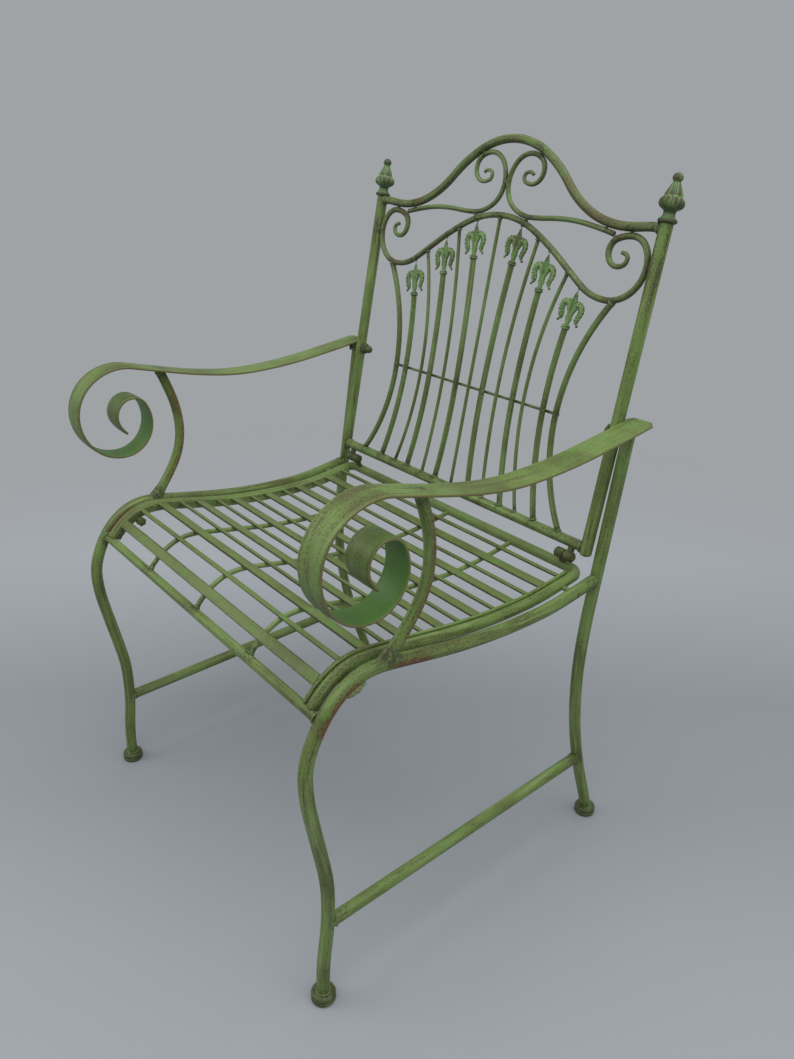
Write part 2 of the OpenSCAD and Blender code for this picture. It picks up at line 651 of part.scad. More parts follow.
color(pale_paint) narrow_slats();
color(paint) mirror([1, 0, 0]) back_post();  // left_back_post
color(paint) back_post();  // right_back_post
color(paint) back_bottom_rail();
color(paint) top_rail();
color(paint) arch_rod();
color(old_paint) mirror([1, 0, 0]) upper_scroll();  // left_upper_scroll
color(old_paint) upper_scroll();  // right_upper_scroll
color(paint) mirror([1, 0, 0]) side_bar();  // left_side_bar
color(paint) side_bar();  // right_side_bar
color(old_paint) crossbar();
color(paint) mirror([1, 0, 0]) spindle(0);  // spindle_1
color(paint) mirror([1, 0, 0]) spindle(1);  // spindle_2
color(paint) mirror([1, 0, 0]) spindle(2);  // spindle_3
color(paint) spindle(2);  // spindle_4
color(paint) spindle(1);  // spindle_5
color(paint) spindle(0);  // spindle_6
color(old_paint) thin_rods();
color(old_paint) mirror([1, 0, 0]) fleur(0);  // fleur_1
color(old_paint) mirror([1, 0, 0]) fleur(1);  // fleur_2
color(old_paint) mirror([1, 0, 0]) fleur(2);  // fleur_3
color(old_paint) fleur(2);  // fleur_4
color(old_paint) fleur(1);  // fleur_5
color(old_paint) fleur(0);  // fleur_6
color(old_paint) mirror([1, 0, 0]) finial();  // left_finial
color(old_paint) finial();  // right_finial
color(rusty) hinge_seat_knuckles();
color(rusty) hinge_back_knuckles();
color(rusty) hinge_pins();
color(rusty) seat_bolts();
color(dark) seat_nuts();
color(rusty) seat_spacers();
color(rusty) arm_bolts();
color(old_paint) acorn_nuts();
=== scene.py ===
# %% [markdown]
# # A wrought garden armchair with old green paint
# The chair is bent from steel tube and rod, welded together, painted green and rubbed back so that
# brown metal shows. This lesson first loads the measured model of the chair as a fixed frame, then sets
# up the camera and the light. Each bar is modelled again in the same place, with weld beads, cast
# flowers and fluted finials, and the last steps wear the surfaces and mix the old paint.

# %% Load the frame
import math
import bpy
import numpy as np
from mathutils import Matrix, Vector


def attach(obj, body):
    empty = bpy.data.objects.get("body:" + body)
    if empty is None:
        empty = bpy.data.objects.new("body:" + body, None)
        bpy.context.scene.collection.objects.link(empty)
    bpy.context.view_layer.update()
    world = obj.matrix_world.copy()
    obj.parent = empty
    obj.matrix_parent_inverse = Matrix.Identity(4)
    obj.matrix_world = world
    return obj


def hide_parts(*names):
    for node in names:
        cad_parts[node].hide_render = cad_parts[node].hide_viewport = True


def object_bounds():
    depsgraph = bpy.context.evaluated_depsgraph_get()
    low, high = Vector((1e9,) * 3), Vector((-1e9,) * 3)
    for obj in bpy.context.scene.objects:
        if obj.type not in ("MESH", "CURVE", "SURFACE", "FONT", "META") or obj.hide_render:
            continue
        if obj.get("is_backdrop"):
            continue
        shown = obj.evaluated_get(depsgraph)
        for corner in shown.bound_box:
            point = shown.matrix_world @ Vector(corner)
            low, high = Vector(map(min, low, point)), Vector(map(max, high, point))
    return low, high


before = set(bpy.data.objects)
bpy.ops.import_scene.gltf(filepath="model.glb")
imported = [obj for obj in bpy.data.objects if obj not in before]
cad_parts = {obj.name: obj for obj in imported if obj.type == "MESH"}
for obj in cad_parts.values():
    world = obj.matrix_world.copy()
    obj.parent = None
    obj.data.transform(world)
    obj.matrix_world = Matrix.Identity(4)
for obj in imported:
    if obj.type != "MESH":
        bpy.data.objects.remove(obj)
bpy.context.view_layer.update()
MM = 0.001

# %% [markdown]
# ## The camera, the floor and the light
# The chair stands on pale studio paper and is seen from its front right corner, a little above the
# arms. A real camera is matched by a place, a direction and a lens, so those are written first. One
# large soft lamp hangs over the chair and gives the pale streaks on the tubes, a weak one stands in
# front on the left, and the even grey sky keeps the undersides readable.

# %% The camera
def camera_at(spot, azimuth, elevation, roll, lens):
    side, rise, tilt = math.radians(azimuth), math.radians(elevation), math.radians(roll)
    behind = Vector((math.sin(side) * math.cos(rise), -math.cos(side) * math.cos(rise), math.sin(rise)))
    right = (-behind).cross(Vector((0, 0, 1))).normalized()
    up = right.cross(-behind).normalized()
    rolled = math.cos(tilt) * right + math.sin(tilt) * up
    upright = -math.sin(tilt) * right + math.cos(tilt) * up
    data = bpy.data.cameras.new("camera")
    data.lens = lens
    data.sensor_width = 36
    camera = bpy.data.objects.new("camera", data)
    bpy.context.scene.collection.objects.link(camera)
    turn = Matrix((rolled, upright, behind)).transposed().to_4x4()
    camera.matrix_world = Matrix.Translation(spot) @ turn
    bpy.context.scene.camera = camera
    return camera

camera = camera_at(Vector((0.83765, -0.62125, 0.94122)), 50.16, 25.40, 0.76, 28.30)
print("camera", [round(c, 3) for c in camera.location])

# %% Lamps and view settings
def soft_lamp(name, place_m, aim_m, size, power):
    data = bpy.data.lights.new(name, "AREA")
    data.shape = "RECTANGLE"
    data.size = size
    data.size_y = size
    data.energy = power
    lamp = bpy.data.objects.new(name, data)
    bpy.context.scene.collection.objects.link(lamp)
    lamp.location = place_m
    lamp.rotation_euler = (Vector(aim_m) - Vector(place_m)).to_track_quat("-Z", "Y").to_euler()
    return lamp

soft_lamp("main_lamp", (0.7, -0.2, 2.9), (0, 0, 0.45), 3.4, 62)
soft_lamp("side_lamp", (-1.6, -2.0, 2.0), (0, 0, 0.5), 1.6, 14)
bpy.context.scene.view_settings.view_transform = "Standard"

# %% The sky
def linear(r, g, b):
    def one(c):
        c = c / 255
        return c / 12.92 if c <= 0.04045 else ((c + 0.055) / 1.055) ** 2.4
    return (one(r), one(g), one(b), 1)

world = bpy.data.worlds.new("studio")
bpy.context.scene.world = world
world.use_nodes = True
sky = world.node_tree.nodes
sky.clear()
glow = sky.new("ShaderNodeBackground")
glow.inputs["Color"].default_value = (0.93, 0.96, 1.0, 1)
glow.inputs["Strength"].default_value = 0.42
paper = sky.new("ShaderNodeBackground")
paper.inputs["Color"].default_value = linear(160, 163, 166)
paper.inputs["Strength"].default_value = 1.0
ray = sky.new("ShaderNodeLightPath")
through = sky.new("ShaderNodeMath")
seen = sky.new("ShaderNodeMath")
for either_ray in (through, seen):
    either_ray.operation = "MAXIMUM"
shown = sky.new("ShaderNodeMixShader")
out = sky.new("ShaderNodeOutputWorld")
wires = ((ray.outputs["Is Glossy Ray"], through.inputs[0]),
         (ray.outputs["Is Transmission Ray"], through.inputs[1]),
         (ray.outputs["Is Camera Ray"], seen.inputs[0]), (through.outputs[0], seen.inputs[1]),
         (seen.outputs[0], shown.inputs[0]), (glow.outputs[0], shown.inputs[1]),
         (paper.outputs[0], shown.inputs[2]), (shown.outputs[0], out.inputs["Surface"]))
for plug, socket in wires:
    world.node_tree.links.new(plug, socket)
print("sky ready")

# %% [markdown]
# ## Node helpers
# Every finish below is a chain of small nodes. Short helpers keep the recipes readable: they add a
# node, join two sockets, do a sum, make a noise, squeeze a value into a mask, and cover the tone so far
# with another colour where that mask is bright.

# %% Node helpers
class Recipe:
    def __init__(self, name):
        self.material = bpy.data.materials.new(name)
        self.material.use_nodes = True
        self.tree = self.material.node_tree
        self.tree.nodes.clear()
        self.out = self.add("ShaderNodeOutputMaterial")
        self.skin = self.add("ShaderNodeBsdfPrincipled")
        self.join(self.skin.outputs["BSDF"], self.out.inputs["Surface"])

    def add(self, kind, **settings):
        node = self.tree.nodes.new(kind)
        for key, value in settings.items():
            setattr(node, key, value)
        return node

    def join(self, a, b):
        self.tree.links.new(a, b)

    def math(self, way, a, b=0.0):
        node = self.add("ShaderNodeMath", operation=way)
        for socket, value in zip(node.inputs, (a, b)):
            if isinstance(value, (int, float)):
                socket.default_value = value
            else:
                self.join(value, socket)
        return node.outputs[0]

    def plus(self, a, b):
        return self.math("ADD", a, b)

    def times(self, a, b):
        return self.math("MULTIPLY", a, b)

    def place(self, kind="object", stretch=(1, 1, 1), shift=(0, 0, 0)):
        if kind == "object":
            source = self.add("ShaderNodeTexCoord").outputs["Object"]
        else:
            source = self.add("ShaderNodeAttribute", attribute_name=kind).outputs["Vector"]
        mapping = self.add("ShaderNodeMapping")
        mapping.inputs["Scale"].default_value = stretch
        mapping.inputs["Location"].default_value = shift
        self.join(source, mapping.inputs["Vector"])
        return mapping.outputs[0]

    def noise(self, where, scale, detail=3.0, rough=0.55):
        node = self.add("ShaderNodeTexNoise")
        for name, level in (("Scale", scale), ("Detail", detail), ("Roughness", rough)):
            node.inputs[name].default_value = level
        self.join(where, node.inputs["Vector"])
        return node.outputs["Fac"]

    def mask(self, value, low, high, top=1.0):
        node = self.add("ShaderNodeMapRange")
        for name, level in (("From Min", low), ("From Max", high), ("To Max", top)):
            node.inputs[name].default_value = level
        self.join(value, node.inputs["Value"])
        return node.outputs["Result"]

    def layer(self, under, colour, amount):
        node = self.add("ShaderNodeMix", data_type="RGBA")
        if isinstance(under, tuple):
            node.inputs[6].default_value = under
        else:
            self.join(under, node.inputs[6])
        node.inputs[7].default_value = colour
        self.join(amount, node.inputs[0])
        return node.outputs[2]

    def cover(self, colour, value, low, high, top=1.0):
        self.tone = self.layer(self.tone, colour, self.mask(value, low, high, top))

    def fact(self, name):
        return self.add("ShaderNodeAttribute", attribute_name=name).outputs["Fac"]

# %% [markdown]
# ## The studio paper
# The floor is matt grey paper. A broad band of painted shade behind the chair makes it a little
# darker there, so its colour changes slowly from the front right to the back left. Further out the
# paper fades into an even glow of the same grey as the wall behind it, so that no horizon shows.

# %% The floor
bpy.ops.object.select_all(action="DESELECT")
bpy.ops.mesh.primitive_plane_add(size=40, location=(0, 0, 0))
floor = bpy.context.object
floor.name = "floor"
grey = Recipe("studio_paper")
run = grey.place("object")
apart = grey.add("ShaderNodeSeparateXYZ")
grey.join(run, apart.inputs[0])
along_view = grey.plus(grey.times(apart.outputs[0], -0.768),
                       grey.times(apart.outputs[1], 0.640))
# painted shade on the floor: a darker band behind the chair and lighter paper in front
floor_shade_ramp = grey.add("ShaderNodeValToRGB")
floor_shade_ramp.color_ramp.elements[0].color = linear(172, 178, 183)
floor_shade_ramp.color_ramp.elements[1].color = linear(182, 185, 188)
for spot, shade in ((0.19, (164, 169, 173)), (0.277, (154, 159, 163)), (0.36, (152, 157, 161)),
                    (0.54, (178, 183, 187))):
    step = floor_shade_ramp.color_ramp.elements.new(spot)
    step.color = linear(*shade)
grey.join(grey.mask(along_view, -0.9, 2.2), floor_shade_ramp.inputs[0])
grain = grey.noise(run, 900, 2.0)
tone = grey.layer(floor_shade_ramp.outputs[0], linear(150, 154, 158), grey.mask(grain, 0.4, 0.7, 0.05))
grey.join(tone, grey.skin.inputs["Base Color"])
far_light = grey.add("ShaderNodeEmission")
far_light.inputs["Color"].default_value = linear(160, 163, 166)
reach_out = grey.add("ShaderNodeVectorMath", operation="LENGTH")
grey.join(run, reach_out.inputs[0])
fade = grey.add("ShaderNodeMixShader")
grey.join(grey.mask(reach_out.outputs["Value"], 0.8, 1.9), fade.inputs[0])
grey.join(grey.skin.outputs[0], fade.inputs[1])
grey.join(far_light.outputs[0], fade.inputs[2])
grey.join(fade.outputs[0], grey.out.inputs["Surface"])
grey.skin.inputs["Roughness"].default_value = 0.85
grey.skin.inputs["Specular IOR Level"].default_value = 0.2
floor.data.materials.append(grey.material)
floor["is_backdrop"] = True
print("floor", round(floor.dimensions.x, 2))

# %% [markdown]
# ## Bent bars
# Each bar of the chair was bent cold round a former, so its line is made of arcs and straights that
# meet without a kink. A bar is written here as a few knots: how far across, how far up, and which way
# it heads. Between two knots go two arcs. The same rule shaped the measured frame, so a bar drawn from
# the same knots lies exactly where the frame has it.

# %% Lines of a bent bar
def heading(a):
    return Vector((math.cos(math.radians(a)), math.sin(math.radians(a))))

def left_of(a):
    return Vector((-math.sin(math.radians(a)), math.cos(math.radians(a))))

def joint(p0, a0, p1, a1):
    t0, t1, v = heading(a0), heading(a1), p1 - p0
    k = 1 - t0.dot(t1)
    s = v.dot(t0 + t1)
    if k < 0.000001:
        d = v.dot(v) / (4 * v.dot(t1))
    else:
        d = (math.sqrt(s * s + 2 * k * v.dot(v)) - s) / (2 * k)
    return (p0 + p1 + d * (t0 - t1)) / 2

def arc_to(p, a, q):
    v = q - p
    side = v.dot(left_of(a))
    if abs(side) < 0.01:
        return (p, a, 0.0, v.length)
    return (p, a, v.dot(v) / (2 * side), 2 * math.degrees(math.atan2(side, v.dot(heading(a)))))

def turned_to(run):
    return run[1] + (0 if run[2] == 0 else run[3])

def bent(knots):
    path = []
    for (u0, v0, a0), (u1, v1, a1) in zip(knots, knots[1:]):
        p, q = Vector((u0, v0)), Vector((u1, v1))
        middle = joint(p, a0, q, a1)
        first = arc_to(p, a0, middle)
        path += [first, arc_to(middle, turned_to(first), q)]
    return path

def straight(u0, v0, u1, v1):
    p, q = Vector((u0, v0)), Vector((u1, v1))
    return [(p, math.degrees(math.atan2(v1 - v0, u1 - u0)), 0.0, (q - p).length)]

# %% Measuring along a bar
def run_length(run):
    return run[3] if run[2] == 0 else abs(run[2] * math.radians(run[3]))

def length_of(path):
    return sum(run_length(r) for r in path)

def run_spot(run, s):
    if run[2] == 0:
        return run[0] + s * heading(run[1]), run[1]
    a = run[1] + math.degrees(s / run[2])
    return run[0] + run[2] * (left_of(run[1]) - left_of(a)), a

def spot(path, s):
    for run in path[:-1]:
        if s <= run_length(run):
            return run_spot(run, s)
        s -= run_length(run)
    return run_spot(path[-1], s)

def reach(path, k, value, low, high):
    for _ in range(40):
        middle = (low + high) / 2
        if (spot(path, middle)[0][k] > value) == (spot(path, high)[0][k] > value):
            high = middle
        else:
            low = middle
    return (low + high) / 2

def clip(path, s0, s1):
    kept, begun = [], 0.0
    for run in path:
        long = run_length(run)
        low, high = max(s0 - begun, 0), min(s1 - begun, long)
        begun += long
        if high - low > 0.05:
            p, a = run_spot(run, low)
            kept.append((p, a, run[2], high - low if run[2] == 0 else math.degrees((high - low) / run[2])))
    return kept

def shifted(path, e):
    return [(r[0] + e * left_of(r[1]), r[1], 0 if r[2] == 0 else r[2] - e, r[3]) for r in path]

def backwards(path):
    back = []
    for run in reversed(path):
        end, a = run_spot(run, run_length(run))
        back.append((end, a + 180, -run[2], run[3] if run[2] == 0 else -run[3]))
    return back

# %% The planes that the bars lie in
rail_x, hoop_x, strap_x, post_x, arm_x = 275.0, 250.0, 240.3, 258.7, 285.8
seat_depth, seat_h, rear_z, arm_h = 440.0, 444.0, 424.0, 610.0
lean = math.radians(11)
top_v, top_low, arch_v = 484.0, 390.0, 388.0
front_edge, back_foot, back_low, half_top_rail = -20, 437, 463, 5.5
mid_y = (front_edge + back_foot + top_v * math.sin(lean) + half_top_rail) / 2

class Plane:
    def __init__(self, origin, across, up):
        self.origin = Vector(origin)
        self.across = Vector(across)
        self.up = Vector(up)
        self.out = self.across.cross(self.up)

    def at(self, u, v, w=0.0):
        return (self.origin + self.across * u + self.up * v + self.out * w) * MM

    def way(self, a):
        return self.across * math.cos(math.radians(a)) + self.up * math.sin(math.radians(a))

def side_plane(x):
    return Plane((x, -mid_y, 0), (0, 1, 0), (0, 0, 1))

back_plane = Plane((0, back_foot - mid_y, back_low), (1, 0, 0), (0, math.sin(lean), math.cos(lean)))
print("the frame's middle is", round(mid_y, 2), "mm behind the front feet")

# %% [markdown]
# ## Sweeping a bar
# A bar could be a curve with a round bevel. Here it is modelled as by hand instead: a ring of edges
# is laid across the start of the bar, extruded along the straights and spun round the centre of each
# bend, which gives clean rings that never pinch. Both ends are filled at the close. Each point of the
# bar also remembers how far along the bar it lies, so that the paint can be streaked lengthwise.

# %% Edit-mode helpers
def select_none():
    bpy.ops.object.select_all(action="DESELECT")

def only(piece):
    select_none()
    piece.select_set(True)
    bpy.context.view_layer.objects.active = piece

def into_edit(piece):
    only(piece)
    bpy.ops.object.mode_set(mode="EDIT")

def edit_all(piece):
    into_edit(piece)
    bpy.ops.mesh.select_all(action="SELECT")

def leave_edit():
    bpy.ops.object.mode_set(mode="OBJECT")

def read(rows, name):
    values = np.empty(len(rows) * 3)
    rows.foreach_get(name, values)
    return values.reshape(-1, 3)

def select_points(piece, test):
    bpy.ops.mesh.select_mode(type="VERT")
    bpy.ops.mesh.select_all(action="DESELECT")
    leave_edit()
    for point in piece.data.vertices:
        point.select = bool(test(point.co))
    bpy.ops.object.mode_set(mode="EDIT")

def extrude(step):
    bpy.ops.mesh.extrude_region_move(TRANSFORM_OT_translate={"value": step})

def settle(piece):
    only(piece)
    bpy.ops.object.transform_apply(location=True, rotation=True, scale=True)
    return piece

def close_up(piece, smooth=50):
    edit_all(piece)
    bpy.ops.mesh.fill_holes(sides=0)
    bpy.ops.mesh.normals_make_consistent(inside=False)
    leave_edit()
    bpy.ops.object.shade_smooth_by_angle(angle=math.radians(smooth))

def facing(ahead, left):
    axis = ahead.normalized()
    return Matrix((left, axis.cross(left), axis)).transposed()

def ring_at(where, ahead, left, radius, sides):
    select_none()
    bpy.ops.mesh.primitive_circle_add(vertices=sides, radius=radius * MM, fill_type="NOTHING",
                                      location=where, rotation=facing(ahead, left).to_euler())
    return settle(bpy.context.object)

def flat_ring_at(where, ahead, left, thick, wide, crown):
    select_none()
    bpy.ops.mesh.primitive_plane_add(size=1, location=(0, 0, 0))
    piece = bpy.context.object
    piece.scale = ((thick - crown) * MM, wide * MM, 1)
    settle(piece)
    edit_all(piece)
    bpy.ops.mesh.bevel(affect="VERTICES", offset=min(thick, wide) * 0.32 * MM, segments=3)
    bpy.ops.mesh.delete(type="ONLY_FACE")
    long = max(thick, wide) * 0.5 * MM
    side = 0 if thick > wide else 1
    bpy.ops.mesh.select_mode(type="EDGE")
    bpy.ops.mesh.select_all(action="DESELECT")
    leave_edit()
    for edge in piece.data.edges:
        a, b = (piece.data.vertices[n].co for n in edge.vertices)
        edge.select = abs(a[side] - b[side]) > long
    bpy.ops.object.mode_set(mode="EDIT")
    bpy.ops.mesh.subdivide(number_cuts=5)
    for share in (0.72, 0.4):
        select_points(piece, lambda co: abs(co[side]) < share * long)
        grow = 1 + 0.5 * crown / (thick - crown)
        bpy.ops.transform.resize(value=(grow if side == 1 else 1, 1 if side == 1 else grow, 1))
    leave_edit()
    piece.matrix_world = Matrix.Translation(where) @ facing(ahead, left).to_4x4()
    return settle(piece)

# %% Drawing a bar outwards at the front
most_out = 4.5 * MM
fades_over = 0.09

def drawn_out(y):
    return most_out * min(max((fades_over - y - mid_y * MM) / fades_over + 1, 0), 1)

def draw_out(piece):
    for point in piece.data.vertices:
        if abs(point.co.x) > 0.2:
            point.co.x += math.copysign(drawn_out(point.co.y), point.co.x)

# %% Following the path
def follow(piece, plane, path, pace):
    into_edit(piece)
    bpy.ops.mesh.select_mode(type="VERT")
    bpy.ops.mesh.select_all(action="SELECT")
    for start, a, radius, amount in path:
        if radius == 0:
            steps = max(1, round(amount / (2.2 * pace)))
            ahead = plane.way(a) * (amount * MM / steps)
            for _ in range(steps):
                extrude(ahead)
        else:
            centre = start + radius * left_of(a)
            steps = max(2, math.ceil(abs(amount) / 9), round(run_length((start, a, radius, amount)) / pace))
            # with no window, spin turns against the right-hand rule
            bpy.ops.mesh.spin(steps=steps, angle=-math.radians(amount), center=plane.at(*centre),
                              axis=plane.out)
    leave_edit()

def mark_along(piece, plane, path, shift=0.0, taper=None, swell=None):
    whole = length_of(path)
    count = max(3, int(whole / 1.5))
    places, lefts, runs = [], [], []
    for n in range(count + 1):
        s = whole * n / count
        p, a = spot(path, s)
        places.append(plane.at(*p))
        lefts.append(plane.way(a + 90))
        runs.append(s * MM)
    places, lefts, runs = np.array(places), np.array(lefts), np.array(runs)
    mesh = piece.data
    points = read(mesh.vertices, "co")
    nearest = ((points[:, None, :] - places[None]) ** 2).sum(axis=2).argmin(axis=1)
    off = points - places[nearest]
    out = np.array(plane.out)
    marks = np.stack([runs[nearest] + shift, (off * lefts[nearest]).sum(axis=1), off @ out], axis=1)
    layer = mesh.attributes.new("along", "FLOAT_VECTOR", "POINT")
    layer.data.foreach_set("vector", marks.ravel())
    if taper:
        swell = [(0, 1, 1), (1 - taper[0] / whole, 1, 1), (1, taper[1], taper[1])]
    if swell:
        share = runs[nearest] / (whole * MM)
        stops, wides, deeps = zip(*swell)
        sideways = (np.interp(share, stops, wides) - 1) * marks[:, 1]
        outwards = (np.interp(share, stops, deeps) - 1) * marks[:, 2]
        points = points + sideways[:, None] * lefts[nearest] + outwards[:, None] * out
        mesh.vertices.foreach_set("co", points.ravel())

shift_so_far = [0.0]
next_bar, next_twin = 3.7, 41.3

def bar(name, plane, path, width, sides=16, pace=6.0, taper=None, swell=None, flat=None, crown=0.6):
    start, a = path[0][0], path[0][1]
    where, ahead, left = plane.at(*start), plane.way(a), plane.way(a + 90)
    if flat:
        piece = flat_ring_at(where, ahead, left, flat, width, crown)
    else:
        piece = ring_at(where, ahead, left, width / 2, sides)
    piece.name = name
    follow(piece, plane, path, pace)
    shift_so_far[0] += next_bar
    mark_along(piece, plane, path, shift_so_far[0], taper, swell)
    close_up(piece)
    return piece

def trim(piece, where, outwards):
    edit_all(piece)
    bpy.ops.mesh.bisect(plane_co=where, plane_no=outwards, use_fill=True, clear_outer=True)
    leave_edit()

# %% Finishing and copying pieces
pieces = {}

def keep(piece, slot, *nodes):
    piece.data.name = piece.name
    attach(piece, "root")
    if nodes:
        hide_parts(*nodes)
    pieces[piece.name] = piece
    return piece

def mirrored(piece, name):
    only(piece)
    bpy.ops.object.duplicate(linked=False)
    twin = bpy.context.object
    twin.name = name
    bpy.ops.transform.mirror(constraint_axis=(True, False, False), orient_type="GLOBAL",
                             center_override=(0, 0, 0))
    settle(twin)
    edit_all(twin)
    bpy.ops.mesh.normals_make_consistent(inside=False)
    leave_edit()
    layer = twin.data.attributes.get("along")
    if layer:
        marks = read(layer.data, "vector")
        marks[:, 0] += next_twin
        layer.data.foreach_set("vector", marks.ravel())
    return twin

def pair(piece, kind, slot, node):
    keep(piece, slot, "right_" + node)
    keep(mirrored(piece, "left_" + kind), slot, "left_" + node)

def joined(name, parts):
    select_none()
    for part in parts:
        part.select_set(True)
    bpy.context.view_layer.objects.active = parts[0]
    bpy.ops.object.join()
    parts[0].name = name
    return parts[0]

# %% [markdown]
# ## Weld beads
# Where two bars meet, the welder ran a short bead round the joint and the paint went on top. A bead is
# a thin torus whose points are moved a little at random, so that it looks like molten metal. The places
# of all the beads are kept, because dirt and rust gather there and the paint needs to know.

# %% Beads
beads = []
joints = []

def bead(where, axis, ring, fat, lumps=0.35):
    axis = Vector(axis).normalized()
    select_none()
    bpy.ops.mesh.primitive_torus_add(location=where, rotation=axis.to_track_quat("Z", "Y").to_euler(),
                                     major_radius=ring * MM, minor_radius=fat * MM,
                                     major_segments=max(14, int(ring * 2.4)), minor_segments=7)
    piece = bpy.context.object
    edit_all(piece)
    bpy.ops.transform.vertex_random(offset=lumps * MM, uniform=0.3, normal=0.6, seed=len(beads) + 3)
    leave_edit()
    settle(piece)
    bpy.ops.object.shade_smooth()
    beads.append(piece)
    joints.append((where.x, where.y, where.z))
    return piece

def bead_pair(where, axis, ring, fat, **more):
    bead(Vector(where), axis, ring, fat, **more)
    bead(Vector((-where[0], where[1], where[2])), (-axis[0], axis[1], axis[2]), ring, fat, **more)

# %% [markdown]
# ## The side frames
# Each side is four tubes and a strip. One tube makes the front leg and the seat's side rail: it comes
# up from the foot, bends tightly over the front corner, dips under the sitter and ends at the upright.
# A second tube makes the rear leg and the upright that carries the arm. A stretcher ties them together
# and a curved post holds the arm's front. The right side is modelled, and the left is its mirror.

# %% Front leg and side rail
bar_y, bar_z = 10.5, seat_h - 37.5
corner_bend = 15.0
slat_gaps = 15
rise = math.radians(9)
rail_end = (seat_depth - corner_bend * math.cos(rise), rear_z - corner_bend * math.sin(rise))
seat_knots = [(bar_y, bar_z, 56), (74, seat_h, 0), (100, seat_h - 3, -11), (165, seat_h - 16, -11),
              (seat_depth - 108, seat_h - 32, 0), (*rail_end, 9)]
seat_path = bent(seat_knots)
seat_len = length_of(seat_path)
long_path = seat_path + [(Vector(rail_end), 9, 0.0, corner_bend)]
pitch = (seat_len + corner_bend) / slat_gaps
leg_knots = [(0, 13.3, 90), (11, seat_h * 0.36, 90), (-0.5, seat_h - 193, 100),
             (-12, seat_h - 102, 90), seat_knots[0]]
leg_path = [(Vector((0, 9)), 90, 0.0, 4.3)] + bent(leg_knots) + seat_path
leg_path += [(Vector(rail_end), 9, 0.0, 12.0)]
right = side_plane(rail_x)
front_leg = bar("right_front_leg_tube", right, leg_path, 16.1, sides=24)
pair(front_leg, "front_leg_tube", "frame", "front_leg")
print("front leg and rail", round(length_of(leg_path)), "mm long, slat spacing", round(pitch, 1), "mm")

# %% Arm
arm_path = bent([(seat_depth + 41, arm_h + 21.5, 189), (seat_depth - 170, arm_h, 180),
                 (160, arm_h + 14.5, 167), (95, arm_h + 30.5, 166), (63, arm_h + 36.5, 180),
                 (-4.5, arm_h - 27, 270), (54, arm_h - 89.5, 360), (98.5, arm_h - 44, 450),
                 (73, arm_h - 7.5, 540), (49, arm_h - 33, 630), (60.5, arm_h - 57, 672)])
arm_plane = side_plane(arm_x)
arm = bar("right_arm_strip", arm_plane, arm_path, 37, flat=4.1, crown=0.9, pace=5.0)
corner_y = seat_depth + 41 - mid_y
half_arm, cut_off = 18.5, 3.18
for side in (-1, 1):
    corner = Vector((arm_x + side * (half_arm - cut_off), corner_y - cut_off, arm_h + 21.5)) * MM
    trim(arm, corner, Vector((side, 1, 0)).normalized())
bpy.ops.object.shade_smooth_by_angle(angle=math.radians(50))
pair(arm, "arm_strip", "arm", "arm")
arm_over_upright = spot(arm_path, reach(arm_path, 0, 469.2, 60, 0))
arm_over_post = spot(arm_path, reach(arm_path, 0, 124, 460, 300))
print("arm strip", round(length_of(arm_path)), "mm long before bending")

# %% Rear leg, stretcher and arm post
rear_x = seat_depth - 34 * math.tan(math.radians(8))
knee = (rear_x + 1.5, rear_z - 34)
rear_path = [(Vector((491.5, 9)), 108, 0.0, 4.5)]
rear_path += bent([(490, 13.3, 108), (rear_x + 15, 135, 105.5), (rear_x - 7, seat_h - 154, 90),
                   (*knee, 81.2)])
rear_path += [(Vector(knee), 81.2, 0.0, 250.0)]
rear_leg = bar("right_rear_leg_tube", right, rear_path, 16.1, sides=24)
under = arm_over_upright[0] + 1.5 * left_of(arm_over_upright[1])
trim(rear_leg, right.at(*under), right.way(arm_over_upright[1] - 90))
pair(rear_leg, "rear_leg_tube", "frame", "rear_leg")
low_a = spot(leg_path, reach(leg_path, 1, 120, 0, 144))[0]
low_b = spot(rear_path, reach(rear_path, 1, 127, 0, 144))[0]
stretcher = bar("right_stretcher_tube", right, straight(*low_a, *low_b), 15.5, sides=20, pace=9)
pair(stretcher, "stretcher_tube", "frame", "stretcher")
tilt = math.atan((arm_x - rail_x) / (arm_h + 22 - seat_h - 8))
post_up = Vector((math.sin(tilt), 0, math.cos(tilt)))
post_foot = Vector((rail_x, -mid_y, seat_h + 8)) - (seat_h + 8) * post_up
post_plane = Plane(post_foot, (0, 1, 0), post_up)
foot_spot = spot(seat_path, reach(seat_path, 0, 89, 40, 160))
post_path = bent([(*foot_spot[0], 45), (144.5, arm_h - 61, 90), (121, arm_h + 30, 113)])
arm_post = bar("right_arm_post_tube", post_plane, post_path, 13.5, sides=20, pace=4,
               swell=[(0, 1.5, 1.3), (0.05, 1.3, 1.18), (0.1, 1.07, 1.05), (0.15, 1, 1), (1, 1, 1)])
under = arm_over_post[0] + 1.2 * left_of(arm_over_post[1])
trim(arm_post, arm_plane.at(*under), arm_plane.way(arm_over_post[1] - 90))
pair(arm_post, "arm_post_tube", "frame", "arm_post")
print("rear leg", round(length_of(rear_path)), "mm, arm post", round(length_of(post_path)), "mm of tube")

# %% Turned pieces
def turned(name, base, axis, rings, sides=32, smooth=40):
    base, axis = Vector(base), Vector(axis).normalized()
    left = axis.orthogonal().normalized()
    if abs(axis.dot(back_plane.up)) > 0.99:
        left = Vector((1, 0, 0))
    height, radius = rings[0]
    piece = ring_at((base + axis * height) * MM, axis, left, radius, sides)
    piece.name = name
    into_edit(piece)
    bpy.ops.mesh.select_mode(type="VERT")
    bpy.ops.mesh.select_all(action="SELECT")
    for next_height, next_radius in rings[1:]:
        extrude(axis * (next_height - height) * MM)
        grow = next_radius / radius
        bpy.ops.transform.resize(value=(grow, grow, grow), center_override=(base + axis * next_height) * MM)
        height, radius = next_height, next_radius
    leave_edit()
    close_up(piece, smooth)
    return piece

